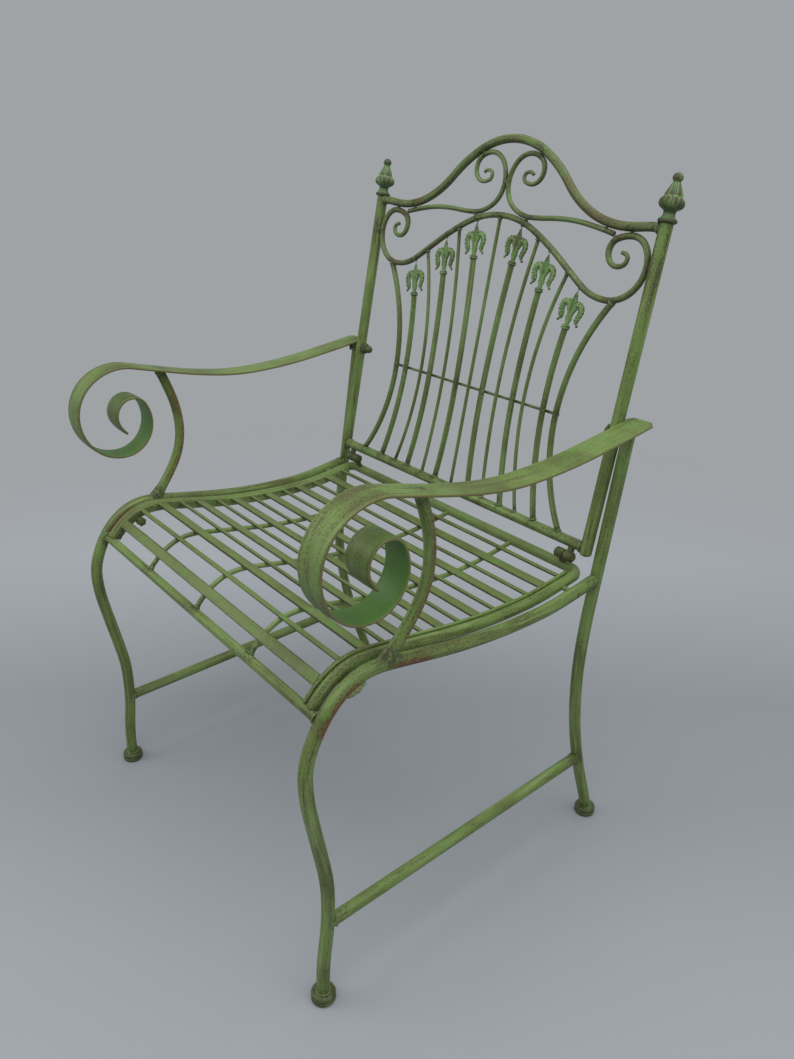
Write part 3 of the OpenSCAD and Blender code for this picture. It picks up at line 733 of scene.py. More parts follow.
# %% Feet
def foot(name, y):
    rings = [(0, 12.5), (0.6, 14.4), (1.6, 15), (4.2, 15), (4.8, 14.6), (5.4, 13.9), (6.2, 13.8),
             (6.9, 14.3), (7.5, 15), (10.2, 15), (11.6, 14.3), (12.6, 12.8), (13, 11.2), (13, 8.4)]
    return turned(name, (rail_x, y - mid_y, 0), (0, 0, 1), rings, sides=36)

pair(foot("right_front_foot_pad", 0), "front_foot_pad", "foot", "front_foot")
pair(foot("right_rear_foot_pad", 490), "rear_foot_pad", "foot", "rear_foot")
print("feet", [round(c, 4) for c in pieces["right_front_foot_pad"].dimensions])

# %% [markdown]
# ## The seat
# A round hoop lies inside the two side rails, with a flat strap on edge inside it to carry the slats.
# Three round rods run from front to back under the slats and give the seat its dip. Wide and narrow
# flat slats take turns across the seat. They are cut from flat bar, so a slat starts as a cube that is
# bevelled along its edges, and each one is bowed by a hair so that the seat does not look ruled.

# %% Hoop
def turn_ring(centre, axis, degrees, steps):
    bpy.ops.mesh.spin(steps=steps, angle=-math.radians(degrees), center=centre, axis=axis)

side_run = clip(seat_path, 4.5, seat_len)
hoop_plane = side_plane(hoop_x)
hoop = ring_at(hoop_plane.at(*side_run[0][0]), hoop_plane.way(side_run[0][1]),
               hoop_plane.way(side_run[0][1] + 90), 7.05, 20)
hoop.name = "seat_hoop_tube"
follow(hoop, hoop_plane, side_run, 6.0)
mark_along(hoop, hoop_plane, side_run, 7.7)
corner_axis = Vector((0, -math.sin(rise), math.cos(rise)))
into_edit(hoop)
corner_x = hoop_x - corner_bend
turn_ring(Vector((corner_x, rail_end[0] - mid_y, rail_end[1])) * MM, corner_axis, 90, 10)
for _ in range(20):
    extrude(Vector((-2 * corner_x / 20, 0, 0)) * MM)
turn_ring(Vector((-corner_x, rail_end[0] - mid_y, rail_end[1])) * MM, corner_axis, 90, 10)
leave_edit()
left_plane = side_plane(-hoop_x)
into_edit(hoop)
for start, a, radius, amount in backwards(side_run):
    if radius == 0:
        extrude(left_plane.way(a) * amount * MM)
    else:
        centre = left_plane.at(*(start + radius * left_of(a)))
        turn_ring(centre, left_plane.out, amount, max(2, math.ceil(abs(amount * radius) / 340)))
leave_edit()
close_up(hoop)
draw_out(hoop)
keep(hoop, "frame", "seat_hoop")
print("hoop", [round(c, 3) for c in hoop.dimensions])

# %% Straps, front bar and support rods
strap_path = clip(seat_path, 6.3, seat_len)
strap = bar("right_seat_strap_bar", side_plane(strap_x), strap_path, 4.8, flat=13, crown=0.3)
draw_out(strap)
pair(strap, "seat_strap_bar", "frame", "seat_strap")
across = Plane((0, bar_y - mid_y, bar_z), (1, 0, 0), (0, 0, 1))
front_bar = bar("front_bar_rod", across, straight(-266, 0, 266, 0), 12, sides=18, pace=8)
keep(front_bar, "frame", "front_bar")
rods = []
for x in (-130, 0, 130):
    run = shifted(clip(long_path, 4, seat_len + 10), -0.85)
    rods.append(bar("support", side_plane(x), run, 6.5, sides=12, pace=8))
keep(joined("seat_support_rods", rods), "frame", "seat_supports")
print("support rods", len(rods), "each", round(length_of(run)), "mm long")

# %% Slats
slat_half = 237.6
slat_up = 4.2
ring_gap = 0.0297
bowed_rings = range(-7, 8)

def slat(name, n, wide):
    where, a = spot(long_path, n * pitch)
    plane = side_plane(0)
    middle = plane.at(*(where + slat_up * left_of(a)))
    select_none()
    long = 2 * (slat_half * MM + drawn_out(middle.y))
    bpy.ops.mesh.primitive_cube_add(size=1, location=middle, rotation=(math.radians(a), 0, 0),
                                    scale=(long, wide * MM, 3 * MM))
    piece = bpy.context.object
    piece.name = name
    settle(piece)
    edit_all(piece)
    bpy.ops.mesh.bevel(offset=0.9 * MM, segments=2, affect="EDGES")
    leave_edit()
    into_edit(piece)
    for cut in bowed_rings:
        bpy.ops.mesh.select_all(action="SELECT")
        bpy.ops.mesh.bisect(plane_co=(cut * ring_gap, 0, 0), plane_no=(1, 0, 0))
    for cut in bowed_rings:
        select_points(piece, lambda co: abs(co.x - cut * ring_gap) < 0.0005)
        drift = math.sin(n * 12.9 + cut * 0.9) * 0.12 + math.sin(n * 4.1 + cut * 0.37) * 0.2
        bpy.ops.transform.translate(value=(0, drift * MM, 0.4 * drift * MM))
    leave_edit()
    bpy.ops.object.shade_smooth_by_angle(angle=math.radians(35))
    mesh = piece.data
    flat_way = plane.way(a)
    up_way = plane.way(a + 90)
    marks = []
    for point in mesh.vertices:
        off = point.co - middle
        marks += [point.co.x + n * 3.3, off.dot(up_way), off.dot(flat_way) * 14 / wide]
    layer = mesh.attributes.new("along", "FLOAT_VECTOR", "POINT")
    layer.data.foreach_set("vector", marks)
    return piece

for n in range(7):
    keep(slat("wide_slat_bar_" + str(n + 1), 2 * n + 1, 14), "slat", "wide_slat_" + str(n + 1))
narrow = [slat("narrow", n, 6) for n in range(2, 15, 2)]
keep(joined("narrow_slat_bars", narrow), "slat", "narrow_slats")
print("slats", len(narrow) + 7)

# %% [markdown]
# ## The back
# The back is a panel between two straight posts. It leans a little, so all its bars are drawn in one
# leaning plane. A crest rail climbs to the middle, an arch rod below it rolls into a scroll at each
# side, and two mirrored scrolls fill the space between them. Six spindles and five thin rods draw
# together at the waist like a sheaf and spread again towards the arch.

# %% Posts and rails
tube = straight(post_x, -6.4, post_x, 397.2)
post = bar("right_back_post_tube", back_plane, tube, 16, sides=24, pace=6)
into_edit(post)
low_end = back_plane.at(post_x, -6.4)
select_points(post, lambda co: (co - low_end).dot(back_plane.up) < 0.0005)
for down, grow in ((-7.4, 0.97), (-9.0, 0.86), (-10.0, 0.7)):
    extrude(back_plane.up * -1.2 * MM)
    bpy.ops.transform.resize(value=(grow, grow, grow), center_override=back_plane.at(post_x, down))
leave_edit()
close_up(post)
pair(post, "back_post_tube", "frame", "back_post")
low_rail = bar("back_bottom_rail_tube", back_plane, straight(-254, 0, 254, 0), 14, sides=20, pace=7)
keep(low_rail, "frame", "back_bottom_rail")
top_half = bent([(post_x - 6, top_low + 2, 175), (205, top_low, 180), (105, top_low + 44, 134),
                 (0, top_v, 180)])
top_other = bent([(0, top_v, 180), (-105, top_low + 44, 226), (-205, top_low, 180),
                  (6 - post_x, top_low + 2, 185)])
top_rail = bar("back_top_rail_rod", back_plane, top_half + top_other, 11.1, sides=20)
keep(top_rail, "back_rod", "top_rail")
print("top rail", round(2 * length_of(top_half)), "mm along its curve")

# %% Arch and scrolls
arch_out = 246.4
arch_top = top_low - 9.5 - 0.36
arch_half = bent([(0, arch_v, 0), (118, arch_v - 46, -34), (arch_out - 46.5, arch_v - 84.4, 0),
                  (arch_out, arch_v - 40, 90), (arch_out - 28, arch_top, 180),
                  (arch_out - 58, arch_top - 19.3, 270), (arch_out - 42, arch_top - 36.3, 360),
                  (arch_out - 29, arch_top - 26.3, 450), (arch_out - 38.5, arch_top - 19.8, 540)])
arch_right = bar("arch_right", back_plane, arch_half, 8.1, sides=16, pace=5, taper=(60, 0.62))
arch_left = mirrored(arch_right, "arch_left")
keep(joined("arch_rod_bar", [arch_right, arch_left]), "back_rod", "arch_rod")
scroll_path = bent([(190.5, top_low - 9.9, 167), (110, top_low + 1, 180), (55, arch_v + 0.8, 180),
                    (3.55, arch_v + 42, 90), (35.5, top_v - 17.4, 0), (61.5, top_v - 37.5, 270),
                    (44, top_v - 55, 180), (29.5, top_v - 46, 90), (38, top_v - 40, 0),
                    (45, top_v - 43, -40)])
scroll = bar("right_upper_scroll_rod", back_plane, scroll_path, 6.6, sides=14, pace=4.5, taper=(70, 0.68))
pair(scroll, "upper_scroll_rod", "back_rod", "upper_scroll")
print("arch", round(2 * length_of(arch_half)), "mm of rod, each scroll", round(length_of(scroll_path)), "mm")

# %% Spindles, side bars and thin rods
def arch_at(x):
    return spot(arch_half, reach(arch_half, 0, x, 0, 270))

def sheaf_path(foot_x, waist, top):
    waist = Vector(waist)
    down = arc_to(waist, -90, Vector((foot_x, 2)))
    up = arc_to(waist, 90, Vector(top))
    return backwards([down]) + [up], up

side_foot = (212, (163.5, 150), 212)
thin_feet = [(132, (105.5, 165), 134), (66, (55.5, 160), 75)]
side_path, _ = sheaf_path(*side_foot[:2], (212, arch_v - 84))
side_bar = bar("right_side_bar_rod", back_plane, side_path, 8.1, sides=16, pace=8)
pair(side_bar, "side_bar_rod", "back_rod", "side_bar")
cross_plane = Plane(back_plane.origin - back_plane.out * 6.3, (1, 0, 0), back_plane.up)
crossbar = bar("waist_cross_rod", cross_plane, straight(-163.5, 152, 163.5, 152), 4, sides=12, pace=8)
keep(crossbar, "back_rod", "crossbar")
sheaf = [(166, (141, 165), 158), (102, (85.5, 165), 98.5), (36, (27, 140), 42.5)]
collars = []
casting_long, rod_stops = 50, 48
for number, (foot_x, waist, tip_x) in enumerate(sheaf):
    q, a = arch_at(tip_x)
    tip = (tip_x, q.y - 4.3 / math.cos(math.radians(a)) - 1.2)
    path, up = sheaf_path(foot_x, waist, tip)
    collars.append(run_spot(up, run_length(up) - casting_long))
    path = clip(path, 0, length_of(path) - rod_stops)
    rod = bar("spindle_rod_" + str(6 - number), back_plane, path, 8.1, sides=16, pace=9)
    keep(rod, "back_rod", "spindle_" + str(6 - number))
    keep(mirrored(rod, "spindle_rod_" + str(number + 1)), "back_rod", "spindle_" + str(number + 1))
thin = []
for foot_x, waist, tip_x in thin_feet:
    path, _ = sheaf_path(foot_x, waist, arch_at(tip_x)[0] - Vector((0, 3)))
    rod = bar("thin", back_plane, path, 5.1, sides=12, pace=9)
    thin += [rod, mirrored(rod, "thin")]
thin.append(bar("thin", back_plane, straight(0, 5, 0, arch_v - 3), 5, sides=12, pace=9))
keep(joined("thin_rod_set", thin), "back_rod", "thin_rods")
print("back rods", [n for n in pieces if "rod" in n][:6])

# %% [markdown]
# ## Cast flowers
# Each spindle ends in a cast iron fleur-de-lis: a pointed middle petal with a ridge, two side petals
# that rise, curl over and hang down with a notched rim, small leaves between them, and a ring at the
# foot. A casting has no seams, so its petals are modelled as separate tapering bars and lobes, and a
# voxel remesh then melts them into one skin. It is made once and copied to the six spindles.

# %% One flower
flower_plane = Plane((0, 0, 0), (1, 0, 0), (0, 0, 1))

def swollen(name, path, profile, sides=10, pace=1.6):
    return bar(name, flower_plane, path, 2.0, sides=sides, pace=pace, swell=profile)

def melt(piece, voxel):
    bpy.ops.object.modifier_add(type="REMESH")
    piece.modifiers[-1].mode = "VOXEL"
    piece.modifiers[-1].voxel_size = voxel * MM
    bpy.ops.object.modifier_apply(modifier=piece.modifiers[-1].name)

def lobe(u, v, w, size):
    select_none()
    bpy.ops.mesh.primitive_ico_sphere_add(subdivisions=2, radius=size * MM,
                                          location=flower_plane.at(u, v, w))
    return settle(bpy.context.object)

petals = [swollen("petal", straight(0, 12, 0, 49.4), [(0, 3.2, 2.4), (0.25, 4.6, 2.8), (0.5, 6.0, 3.2),
          (0.68, 5.2, 2.8), (0.85, 3.0, 2.0), (1, 0.7, 0.7)], sides=4, pace=1.0)]
petals.append(swollen("ridge", straight(0, 16, 0, 46), [(0, 0.9, 3.2), (0.5, 1.0, 4.0), (1, 0.5, 2.2)],
                      pace=2))
petals.append(swollen("stem", straight(0, 3, 0, 24), [(0, 3.2, 3.0), (0.3, 3.5, 2.8), (0.75, 5.2, 3.0),
                      (1, 4.6, 2.6)], pace=1.2))
for side in (1, -1):
    curl = bent([(2.0, 21, 62), (9.8, 33.0, 0), (15.6, 25.5, 270), (12.6, 15.5, 255), (15.8, 8.6, 305)])
    if side < 0:
        curl = [((Vector((-p.x, p.y))), 180 - a, -r, -t if r else t) for p, a, r, t in curl]
    shape = [(0, 2.6, 2.0), (0.2, 4.4, 2.4), (0.5, 4.9, 2.7), (0.75, 3.8, 2.3), (0.93, 2.4, 1.8),
             (1, 0.9, 0.9)]
    petals.append(swollen("side_petal", curl, shape, pace=1.1))
    whole = length_of(curl)
    for share in (0.30, 0.39, 0.48, 0.57, 0.66, 0.75, 0.84):
        p, a = spot(curl, share * whole)
        out = p + side * 3.5 * left_of(a)
        petals.append(lobe(out.x, out.y, 0.8, 1.5))
        near = p - side * 1.2 * left_of(a)
        petals.append(lobe(near.x, near.y, 2.2, 1.1))
    leaf = straight(side * 3.6, 29, side * 7.9, 38.4)
    petals.append(swollen("leaf", leaf, [(0, 2.6, 2.0), (0.5, 2.2, 1.7), (1, 0.9, 0.8)], sides=6, pace=1))
    low = straight(side * 1.6, 9, side * 5.6, 15.2)
    petals.append(swollen("low_leaf", low, [(0, 1.3, 1.6), (0.6, 1.3, 1.5), (1, 0.5, 0.6)], sides=6,
                          pace=1))
    petals.append(lobe(side * 16.2, 8.2, 0, 1.8))
petals.append(turned("ring", (0, 0, 0), (0, 0, 1), [(0.2, 4.3), (0.5, 5.7), (1.4, 6.1), (2.2, 5.6),
              (2.7, 4.7), (3.3, 5.3), (4.2, 5.7), (5.0, 5.1), (5.6, 3.4)], 24))
flower = joined("flower", petals)
melt(flower, 0.5)
bpy.ops.object.modifier_add(type="SMOOTH")
flower.modifiers[-1].factor = 0.5
flower.modifiers[-1].iterations = 2
bpy.ops.object.modifier_apply(modifier=flower.modifiers[-1].name)
for name in [a.name for a in flower.data.attributes if a.name == "along"]:
    flower.data.attributes.remove(flower.data.attributes[name])
bpy.ops.object.shade_smooth()
print("flower", len(flower.data.polygons), "faces", [round(d * 1000, 1) for d in flower.dimensions])

# %% Six flowers
def placed(model, name, plane, u, v, turn):
    only(model)
    bpy.ops.object.duplicate(linked=False)
    twin = bpy.context.object
    twin.name = name
    across_way = plane.way(turn)
    up_way = plane.way(turn + 90)
    turned_in = Matrix((across_way, -plane.out, up_way)).transposed().to_4x4()
    twin.matrix_world = Matrix.Translation(plane.at(u, v)) @ turned_in
    return settle(twin)

for number, (q, a) in enumerate(collars):
    right_one = placed(flower, "flower_" + str(6 - number), back_plane, q.x, q.y, a - 90)
    keep(right_one, "casting", "fleur_" + str(6 - number))
    left_one = placed(flower, "flower_" + str(number + 1), back_plane, -q.x, q.y, 90 - a)
    keep(left_one, "casting", "fleur_" + str(number + 1))
bpy.data.objects.remove(flower)
print("flowers", len([name for name in pieces if "flower" in name]))

# %% [markdown]
# ## Finials
# The posts end in cast finials: a flat collar, a neck, a fluted bulb, a slim cone and a knob. The shape
# is built up from one ring of edges that is extruded and scaled step by step, as if on a lathe. Every
# fourth column of the bulb and every sixth one of the cone is then drawn inwards, which makes the flutes.

# %% Finial
profile = [(0, 9.6), (0.5, 10.6), (1.8, 11.3), (3.2, 11.2), (4.4, 10.5), (5.2, 9.3), (6.2, 8.3), (8.0, 7.4),
           (10.0, 7.0), (12.6, 7.1), (14.2, 8.4), (15.4, 10.9), (17.0, 13.2), (19.2, 14.7), (21.6, 15),
           (24.0, 14.5), (26.2, 13.2), (27.6, 11.8), (28.4, 10.7), (29.0, 10.3), (29.8, 10.5), (31.0, 10.3),
           (33, 9.5), (36, 8.2), (39, 6.8), (42, 5.4), (43.8, 4.5), (44.8, 4.3), (45.6, 5.0), (46.8, 5.8),
           (48.4, 6.1), (50.4, 5.7), (52.4, 4.4), (53.8, 2.5), (54.5, 0.9)]
finial = turned("finial", (0, 0, 0), (0, 0, 1), profile, sides=48, smooth=60)
into_edit(finial)

def flutes(low, high, every, depth, wide):
    def in_column(co):
        if not low * MM < co.z < high * MM:
            return False
        column = round(math.degrees(math.atan2(co.y, co.x)) / 7.5)
        return column % every in wide
    select_points(finial, in_column)
    bpy.ops.transform.resize(value=(depth, depth, 1), center_override=(0, 0, 0))

flutes(15.0, 28.2, 4, 0.955, (0, 1, 3))
flutes(15.0, 28.2, 4, 0.88, (0,))
flutes(29.5, 42.5, 6, 0.86, (0,))
flutes(29.5, 42.5, 6, 0.95, (1, 5))
leave_edit()
for side, x in (("right", post_x), ("left", -post_x)):
    twin = placed(finial, side + "_finial_casting", back_plane, x, 397.6, 0)
    keep(twin, "casting", side + "_finial")
bpy.data.objects.remove(finial)
print("finials", profile[-1][0], "mm high")

# %% [markdown]
# ## Bolts, nuts, sleeves and hinges
# The seat is bolted between the side rails, and the back posts are bolted to the uprights under the
# arms, with an acorn nut inside each post. The left nut stands out and the right one is short, because
# its post hides it. Two small barrel hinges join the back to the seat. They are turned or cut from bar,
# so they start as rings and cubes with bevelled edges.

# %% Hardware helpers
def along_x(name, y, z, rings, sides=24, smooth=40):
    return turned(name, (0, y - mid_y, z), (1, 0, 0), rings, sides, smooth)

def hexagon(name, x0, x1, y, z, wide):
    return along_x(name, y, z, [(x0, wide / 2 * 0.9), (x0 + 0.6, wide / 2), (x1 - 0.6, wide / 2),
                                (x1, wide / 2 * 0.9)], sides=6, smooth=25)

def both(name, slot, parts, *nodes):
    right_half = joined(name + "_right", parts)
    left_half = mirrored(right_half, name + "_left")
    return keep(joined(name, [right_half, left_half]), slot, *nodes)

def roughen(piece, offset, seed):
    edit_all(piece)
    bpy.ops.transform.vertex_random(offset=offset * MM, uniform=0.4, normal=0.6, seed=seed)
    leave_edit()
    return piece

# %% Bolts, nuts and sleeves
front_gaps, rear_gaps, below_rail, lift = 1.68, 13.62, 12.5, 2.5
front_spot, front_turn = spot(seat_path, front_gaps * pitch)
front_bolt = front_spot - below_rail * left_of(front_turn)
rear_bolt = spot(seat_path, rear_gaps * pitch)[0]
lifted = front_bolt + lift * left_of(front_turn)
# where each bolt runs, its inner and outer face, and the width of its nut
clamps = [(lifted, 243.3, 276.0, 13.6), (rear_bolt, 245.9, 282.0, 9.0)]
shanks, nuts = [], []
for q, inner, outer, nut_width in clamps:
    shanks.append(along_x("shank", q.x, q.y, [(inner - 8.5, 2.4), (inner - 7.9, 3), (outer, 3)], 16))
    shanks.append(along_x("head", q.x, q.y, [(outer + 0.2, 3.7), (outer + 0.8, 3.7), (outer + 1.3, 3.0),
                                             (outer + 1.6, 1.8)], 20))
    nuts.append(hexagon("nut", inner - 7.3, inner - 0.3, q.x, q.y, nut_width))
both("seat_bolt_set", "hardware", shanks, "seat_bolts")
both("seat_nut_set", "hardware", nuts, "seat_nuts")
sleeve_rings = [(248.5, 4.6), (249.3, 5.6)]
sleeve_rings += [(249.3 + 2.6 * n, 5.6 + 0.2 * math.sin(n * 2.3)) for n in range(1, 11)]
sleeve_rings += [(276.6, 5.2), (277.2, 4.2)]
sleeve = along_x("sleeve", lifted.x, lifted.y, sleeve_rings, 22)
lumps = [sleeve]
for n in range(-3, 4):
    off = front_bolt + 3.0 * n * heading(front_turn) + (3.6 + 0.3 * abs(n)) * left_of(front_turn)
    select_none()
    bpy.ops.mesh.primitive_ico_sphere_add(subdivisions=3, radius=(5.2 - 0.4 * abs(n)) * MM,
                                          location=right.at(*off, 3.2 + 0.7 * math.sin(2.3 * n)))
    lumps.append(settle(bpy.context.object))
sleeve = roughen(joined("sleeve", lumps), 0.45, 11)
only(sleeve)
melt(sleeve, 0.8)
bpy.ops.object.shade_smooth()
ring_rear = along_x("spacer", rear_bolt.x, rear_bolt.y, [(257.4, 3.2), (258, 3.5), (266, 3.5),
                                                         (266.6, 3.2)], 20)
both("seat_sleeve_set", "hardware", [sleeve, ring_rear], "seat_spacers")
print("seat bolts", 2 * len(clamps))

# %% Arm bolts and acorn nuts
half_strip, below_arm = 2, 10
bolt_z = arm_over_upright[0].y - half_strip - below_arm
bolt_y = seat_depth + (bolt_z - rear_z) * math.tan(math.radians(8))
shank = along_x("shank", bolt_y, bolt_z, [(247, 4), (283.2, 4)], 16)
head = along_x("head", bolt_y, bolt_z, [(283.3, 4.8), (284.0, 4.8), (284.6, 4.0), (285.0, 2.6)], 24)
both("arm_bolt_set", "hardware", [shank, head], "arm_bolts")

def acorn(lift, long):
    start = 250.4
    inner = start - 2.4 - 6.6 * long
    washer = along_x("washer", bolt_y, bolt_z + lift, [(start - 2.5, 8.4), (start - 2.0, 9),
                                                       (start - 0.5, 9), (start, 8.6)], 28)
    nut = hexagon("nut", inner, start - 2.4, bolt_y, bolt_z + lift, 16)
    dome = along_x("dome", bolt_y, bolt_z + lift, [(inner - 10.8 * long, 1.4), (inner - 10.0 * long, 3.3),
                   (inner - 8.4 * long, 4.9), (inner - 6.4 * long, 5.8), (inner - 4 * long, 6),
                   (inner - 0.6, 6), (inner + 0.1, 5.8)], 28, 60)
    return joined("acorn", [washer, nut, dome])

right_acorn = acorn(-5.0, 0.2)
long_acorn = acorn(4.5, 1.0)
left_acorn = mirrored(long_acorn, "left_acorn")
bpy.data.objects.remove(long_acorn)
keep(joined("acorn_nut_set", [right_acorn, left_acorn]), "casting", "acorn_nuts")
print("arm bolts", round(bolt_z, 1), "mm above the floor")

# %% Hinges
hinge_y, hinge_z = 430.5, 445

def lug(x, to_y, to_z):
    away = Vector((0, to_y - hinge_y, to_z - hinge_z))
    select_none()
    middle = Vector((x + 6.5, hinge_y - mid_y, hinge_z)) + away * 0.5
    bpy.ops.mesh.primitive_cube_add(size=1, location=middle * MM, scale=(9 * MM, away.length * MM, 5 * MM),
                                    rotation=(math.atan2(away.z, away.y), 0, 0))
    piece = settle(bpy.context.object)
    edit_all(piece)
    bpy.ops.mesh.bevel(offset=1.2 * MM, segments=2, affect="EDGES")
    leave_edit()
    return piece

def knuckle(x, to_y, to_z):
    barrel = along_x("barrel", hinge_y, hinge_z, [(x, 6), (x + 0.8, 7), (x + 6.5, 7.1), (x + 12.2, 7),
                                                  (x + 13, 6)], 24)
    return [barrel, lug(x, to_y, to_z)]

both("hinge_seat_knuckle_set", "hardware", knuckle(216.7, 440, 424), "hinge_seat_knuckles")
both("hinge_back_knuckle_set", "hardware", knuckle(230.3, 437, 463), "hinge_back_knuckles")
pin = [along_x("pin", hinge_y, hinge_z, [(214.8, 3.6), (215.5, 5), (216.4, 5), (216.5, 3), (243.5, 3),
                                         (243.6, 5), (244.6, 5), (245.2, 3.6)], 20)]
both("hinge_pin_set", "hardware", pin, "hinge_pins")
print("hinges", hinge_z, "mm above the floor,", len(pieces), "pieces so far")

# %% [markdown]
# ## Welding it all together
# Now that the bars are in place, a bead goes round the end of each bar that meets another. The arm
# post's foot has the heaviest and roughest bead on this chair. Where two round rods only touch side by
# side, as the scrolls do, the weld is a small drop between them.

# %% Beads on the side frames and seat
def run_bead(plane, path, s, ring, fat, **more):
    p, a = spot(path, s)
    where = plane.at(*p)
    axis = plane.way(a)
    bead_pair(where, axis, ring, fat, **more)

run_bead(right, leg_path, 4.6, 8.3, 1.0)
run_bead(right, rear_path, 4.6, 8.3, 1.0)
tie = straight(*low_a, *low_b)
run_bead(right, tie, 8.2, 7.7, 1.3)
run_bead(right, tie, length_of(tie) - 8.2, 7.7, 1.3)
run_bead(post_plane, post_path, 8.8, 6.0, 2.4, lumps=1.2)
for n in range(11):
    p, a = spot(post_path, 10.5 + 1.8 * math.sin(3.1 * n))
    round_it = math.radians(33 * n)
    off = p + 5.6 * math.cos(round_it) * left_of(a)
    where = post_plane.at(*off, 5.6 * math.sin(round_it))
    bead_pair(where, post_plane.out, 0.7, 2.2 + 0.5 * math.sin(5 * n), lumps=0.8)
top_s = reach(post_path, 1, arm_over_post[0].y - 4, 60, length_of(post_path))
run_bead(post_plane, post_path, top_s, 6.5, 1.3)
upright_s = reach(rear_path, 1, arm_over_upright[0].y - 4.5, 380, 660)
run_bead(right, rear_path, upright_s, 7.8, 1.5)
run_bead(right, leg_path, length_of(leg_path) - 6.0, 7.2, 0.7, lumps=0.9)
run_bead(across, straight(0, 0, 266, 0), 266.5, 6.2, 1.7, lumps=0.5)
for x in (-130, 0, 130):
    p, a = spot(long_path, 6.6)
    bead(side_plane(x).at(*(p - 0.85 * left_of(a))), side_plane(x).way(a), 3.3, 1.2)
print("beads so far", len(beads))

# %% Beads on the back
back_line = straight(0, 0, 260, 0)
run_bead(back_plane, back_line, 250.4, 7.0, 1.6, lumps=0.5)
run_bead(back_plane, top_half, 3.2, 5.6, 1.4)
for number, (foot_x, waist, tip_x) in enumerate(sheaf):
    run_bead(back_plane, sheaf_path(foot_x, waist, arch_at(tip_x)[0])[0], 5.4, 4.1, 1.2)
    q, a = arch_at(tip_x)
    bead_pair(back_plane.at(tip_x, q.y - 4.6), back_plane.up, 1.4, 1.1)
for foot_x, waist, tip_x in thin_feet + [side_foot]:
    path = sheaf_path(foot_x, waist, arch_at(tip_x)[0])[0]
    wide = 4.1 if foot_x == 212 else 2.6
    run_bead(back_plane, path, 5.2, wide, 1.0)
    run_bead(back_plane, path, length_of(path) - 4.6, wide * 0.95, 1.2, lumps=0.5)
bead(back_plane.at(0, 7.3), back_plane.up, 2.6, 1.0)
bead(back_plane.at(0, arch_v - 4.6), back_plane.up, 2.4, 1.2)

def drop(u, v, w=0.0, size=1.9, two=True):
    where = back_plane.at(u, v, w)
    if two:
        bead_pair(where, back_plane.out, 0.9, size)
    else:
        bead(where, back_plane.out, 0.9, size)

for touch in ((250.6, 348), (177.8, 387.9, 0.5), (192.6, 377, 0.5, 1.5), (215.2, 385.2),
              (52.3, 467.3, 0, 1.7), (48, 385.6, 0.5)):
    drop(*touch)
drop(0, 430, 0.5, 1.5, two=False)
for x in (27, 85.5, 141.3, 163.5):
    drop(x, 152, -4.2, 1.2)
welds = joined("weld_beads", beads)
keep(welds, "frame")
print("beads", len(joints), "faces", len(welds.data.polygons))

# %% [markdown]
# ## Where the paint has worn, and where shade is painted
# Dirt and rust are not spread evenly. They gather at the welds, on the crests that hands and clothes
# rub, and under the bends where water hangs. Each point of each piece is given a few facts: how dirty,
# rubbed and rusty it is, measured from those places, how far it faces down, which the paint darkens as
# painted shade, and on the castings whether it lies on a crest or in a hollow. The paint reads the facts by
# name.

# %% Worn places
rubbed = []
rusty = []

def worn(store, plane, places, radius, strength, side=0):
    for u, v in places:
        where = plane.at(u, v)
        for x in (where.x, -where.x):
            store.append((x, where.y, where.z, radius * MM, strength, side))

worn(rubbed, hoop_plane, ((30, 424), (52, 442), (74, 450), (96, 448), (120, 442)), 20, 0.75)
worn(rubbed, arm_plane, ((14, 600), (0, 585), (-4, 560), (8, 625), (30, 640), (60, 647)), 34, 0.5, -1)
worn(rubbed, right, ((150, 440), (190, 425), (230, 418), (300, 412)), 26, 0.7)
worn(rubbed, right, ((-12, 330), (2, 240), (12, 170), (2, 60), (480, 60), (452, 150), (430, 300)), 34, 0.5)
worn(rubbed, back_plane, ((205, 388), (160, 400), (120, 425), (80, 455), (40, 478), (0, 486)), 26, 0.55)
worn(rubbed, back_plane, ((240, 330), (180, 310), (140, 328), (60, 372), (210, 250), (95, 200),
                          (40, 180)), 26, 0.6)
worn(rubbed, back_plane, ((250, 6), (262, 20)), 12, 0.5)
worn(rusty, right, ((18, 398), (24, 407), (31, 415), (40, 422), (49, 427)), 12, 1.4, -1)
worn(rusty, right, ((108, 435), (124, 431), (140, 426)), 11, 0.9, -1)
worn(rusty, post_plane, ((122, 478), (132, 494), (142, 512), (147, 530), (149, 548), (149, 566),
                         (147, 584), (142, 602)), 13, 0.42, -1)
worn(rusty, back_plane, ((110, 431), (165, 395), (200, 384), (250, 12), (120, 338), (200, 310)), 12, 0.22)
for q, a in collars:
    tips = [q - side * 16.2 * left_of(a) + 8.2 * heading(a) for side in (1, -1)]
    worn(rusty, back_plane, tips, 3.5, 0.16)
print("worn places", len(rubbed), "rubbed and", len(rusty), "rusty")

# %% Writing the facts on each point
def bulges(mesh, points):
    normals = read(mesh.vertex_normals, "vector")
    ends = np.empty(len(mesh.edges) * 2, dtype=np.int64)
    mesh.edges.foreach_get("vertices", ends)
    a, b = ends.reshape(-1, 2).T
    step = points[b] - points[a]
    long = np.maximum(np.sqrt((step ** 2).sum(axis=1)), 0.000001)
    at_a = -(step * normals[a]).sum(axis=1) / long
    at_b = (step * normals[b]).sum(axis=1) / long
    share = np.maximum(np.bincount(a, minlength=len(points)) + np.bincount(b, minlength=len(points)), 1)
    bulge = (np.bincount(a, at_a, len(points)) + np.bincount(b, at_b, len(points))) / share
    for _ in range(2):
        spread = np.bincount(a, bulge[b], len(points)) + np.bincount(b, bulge[a], len(points))
        bulge = 0.5 * bulge + 0.5 * spread / share
    return bulge

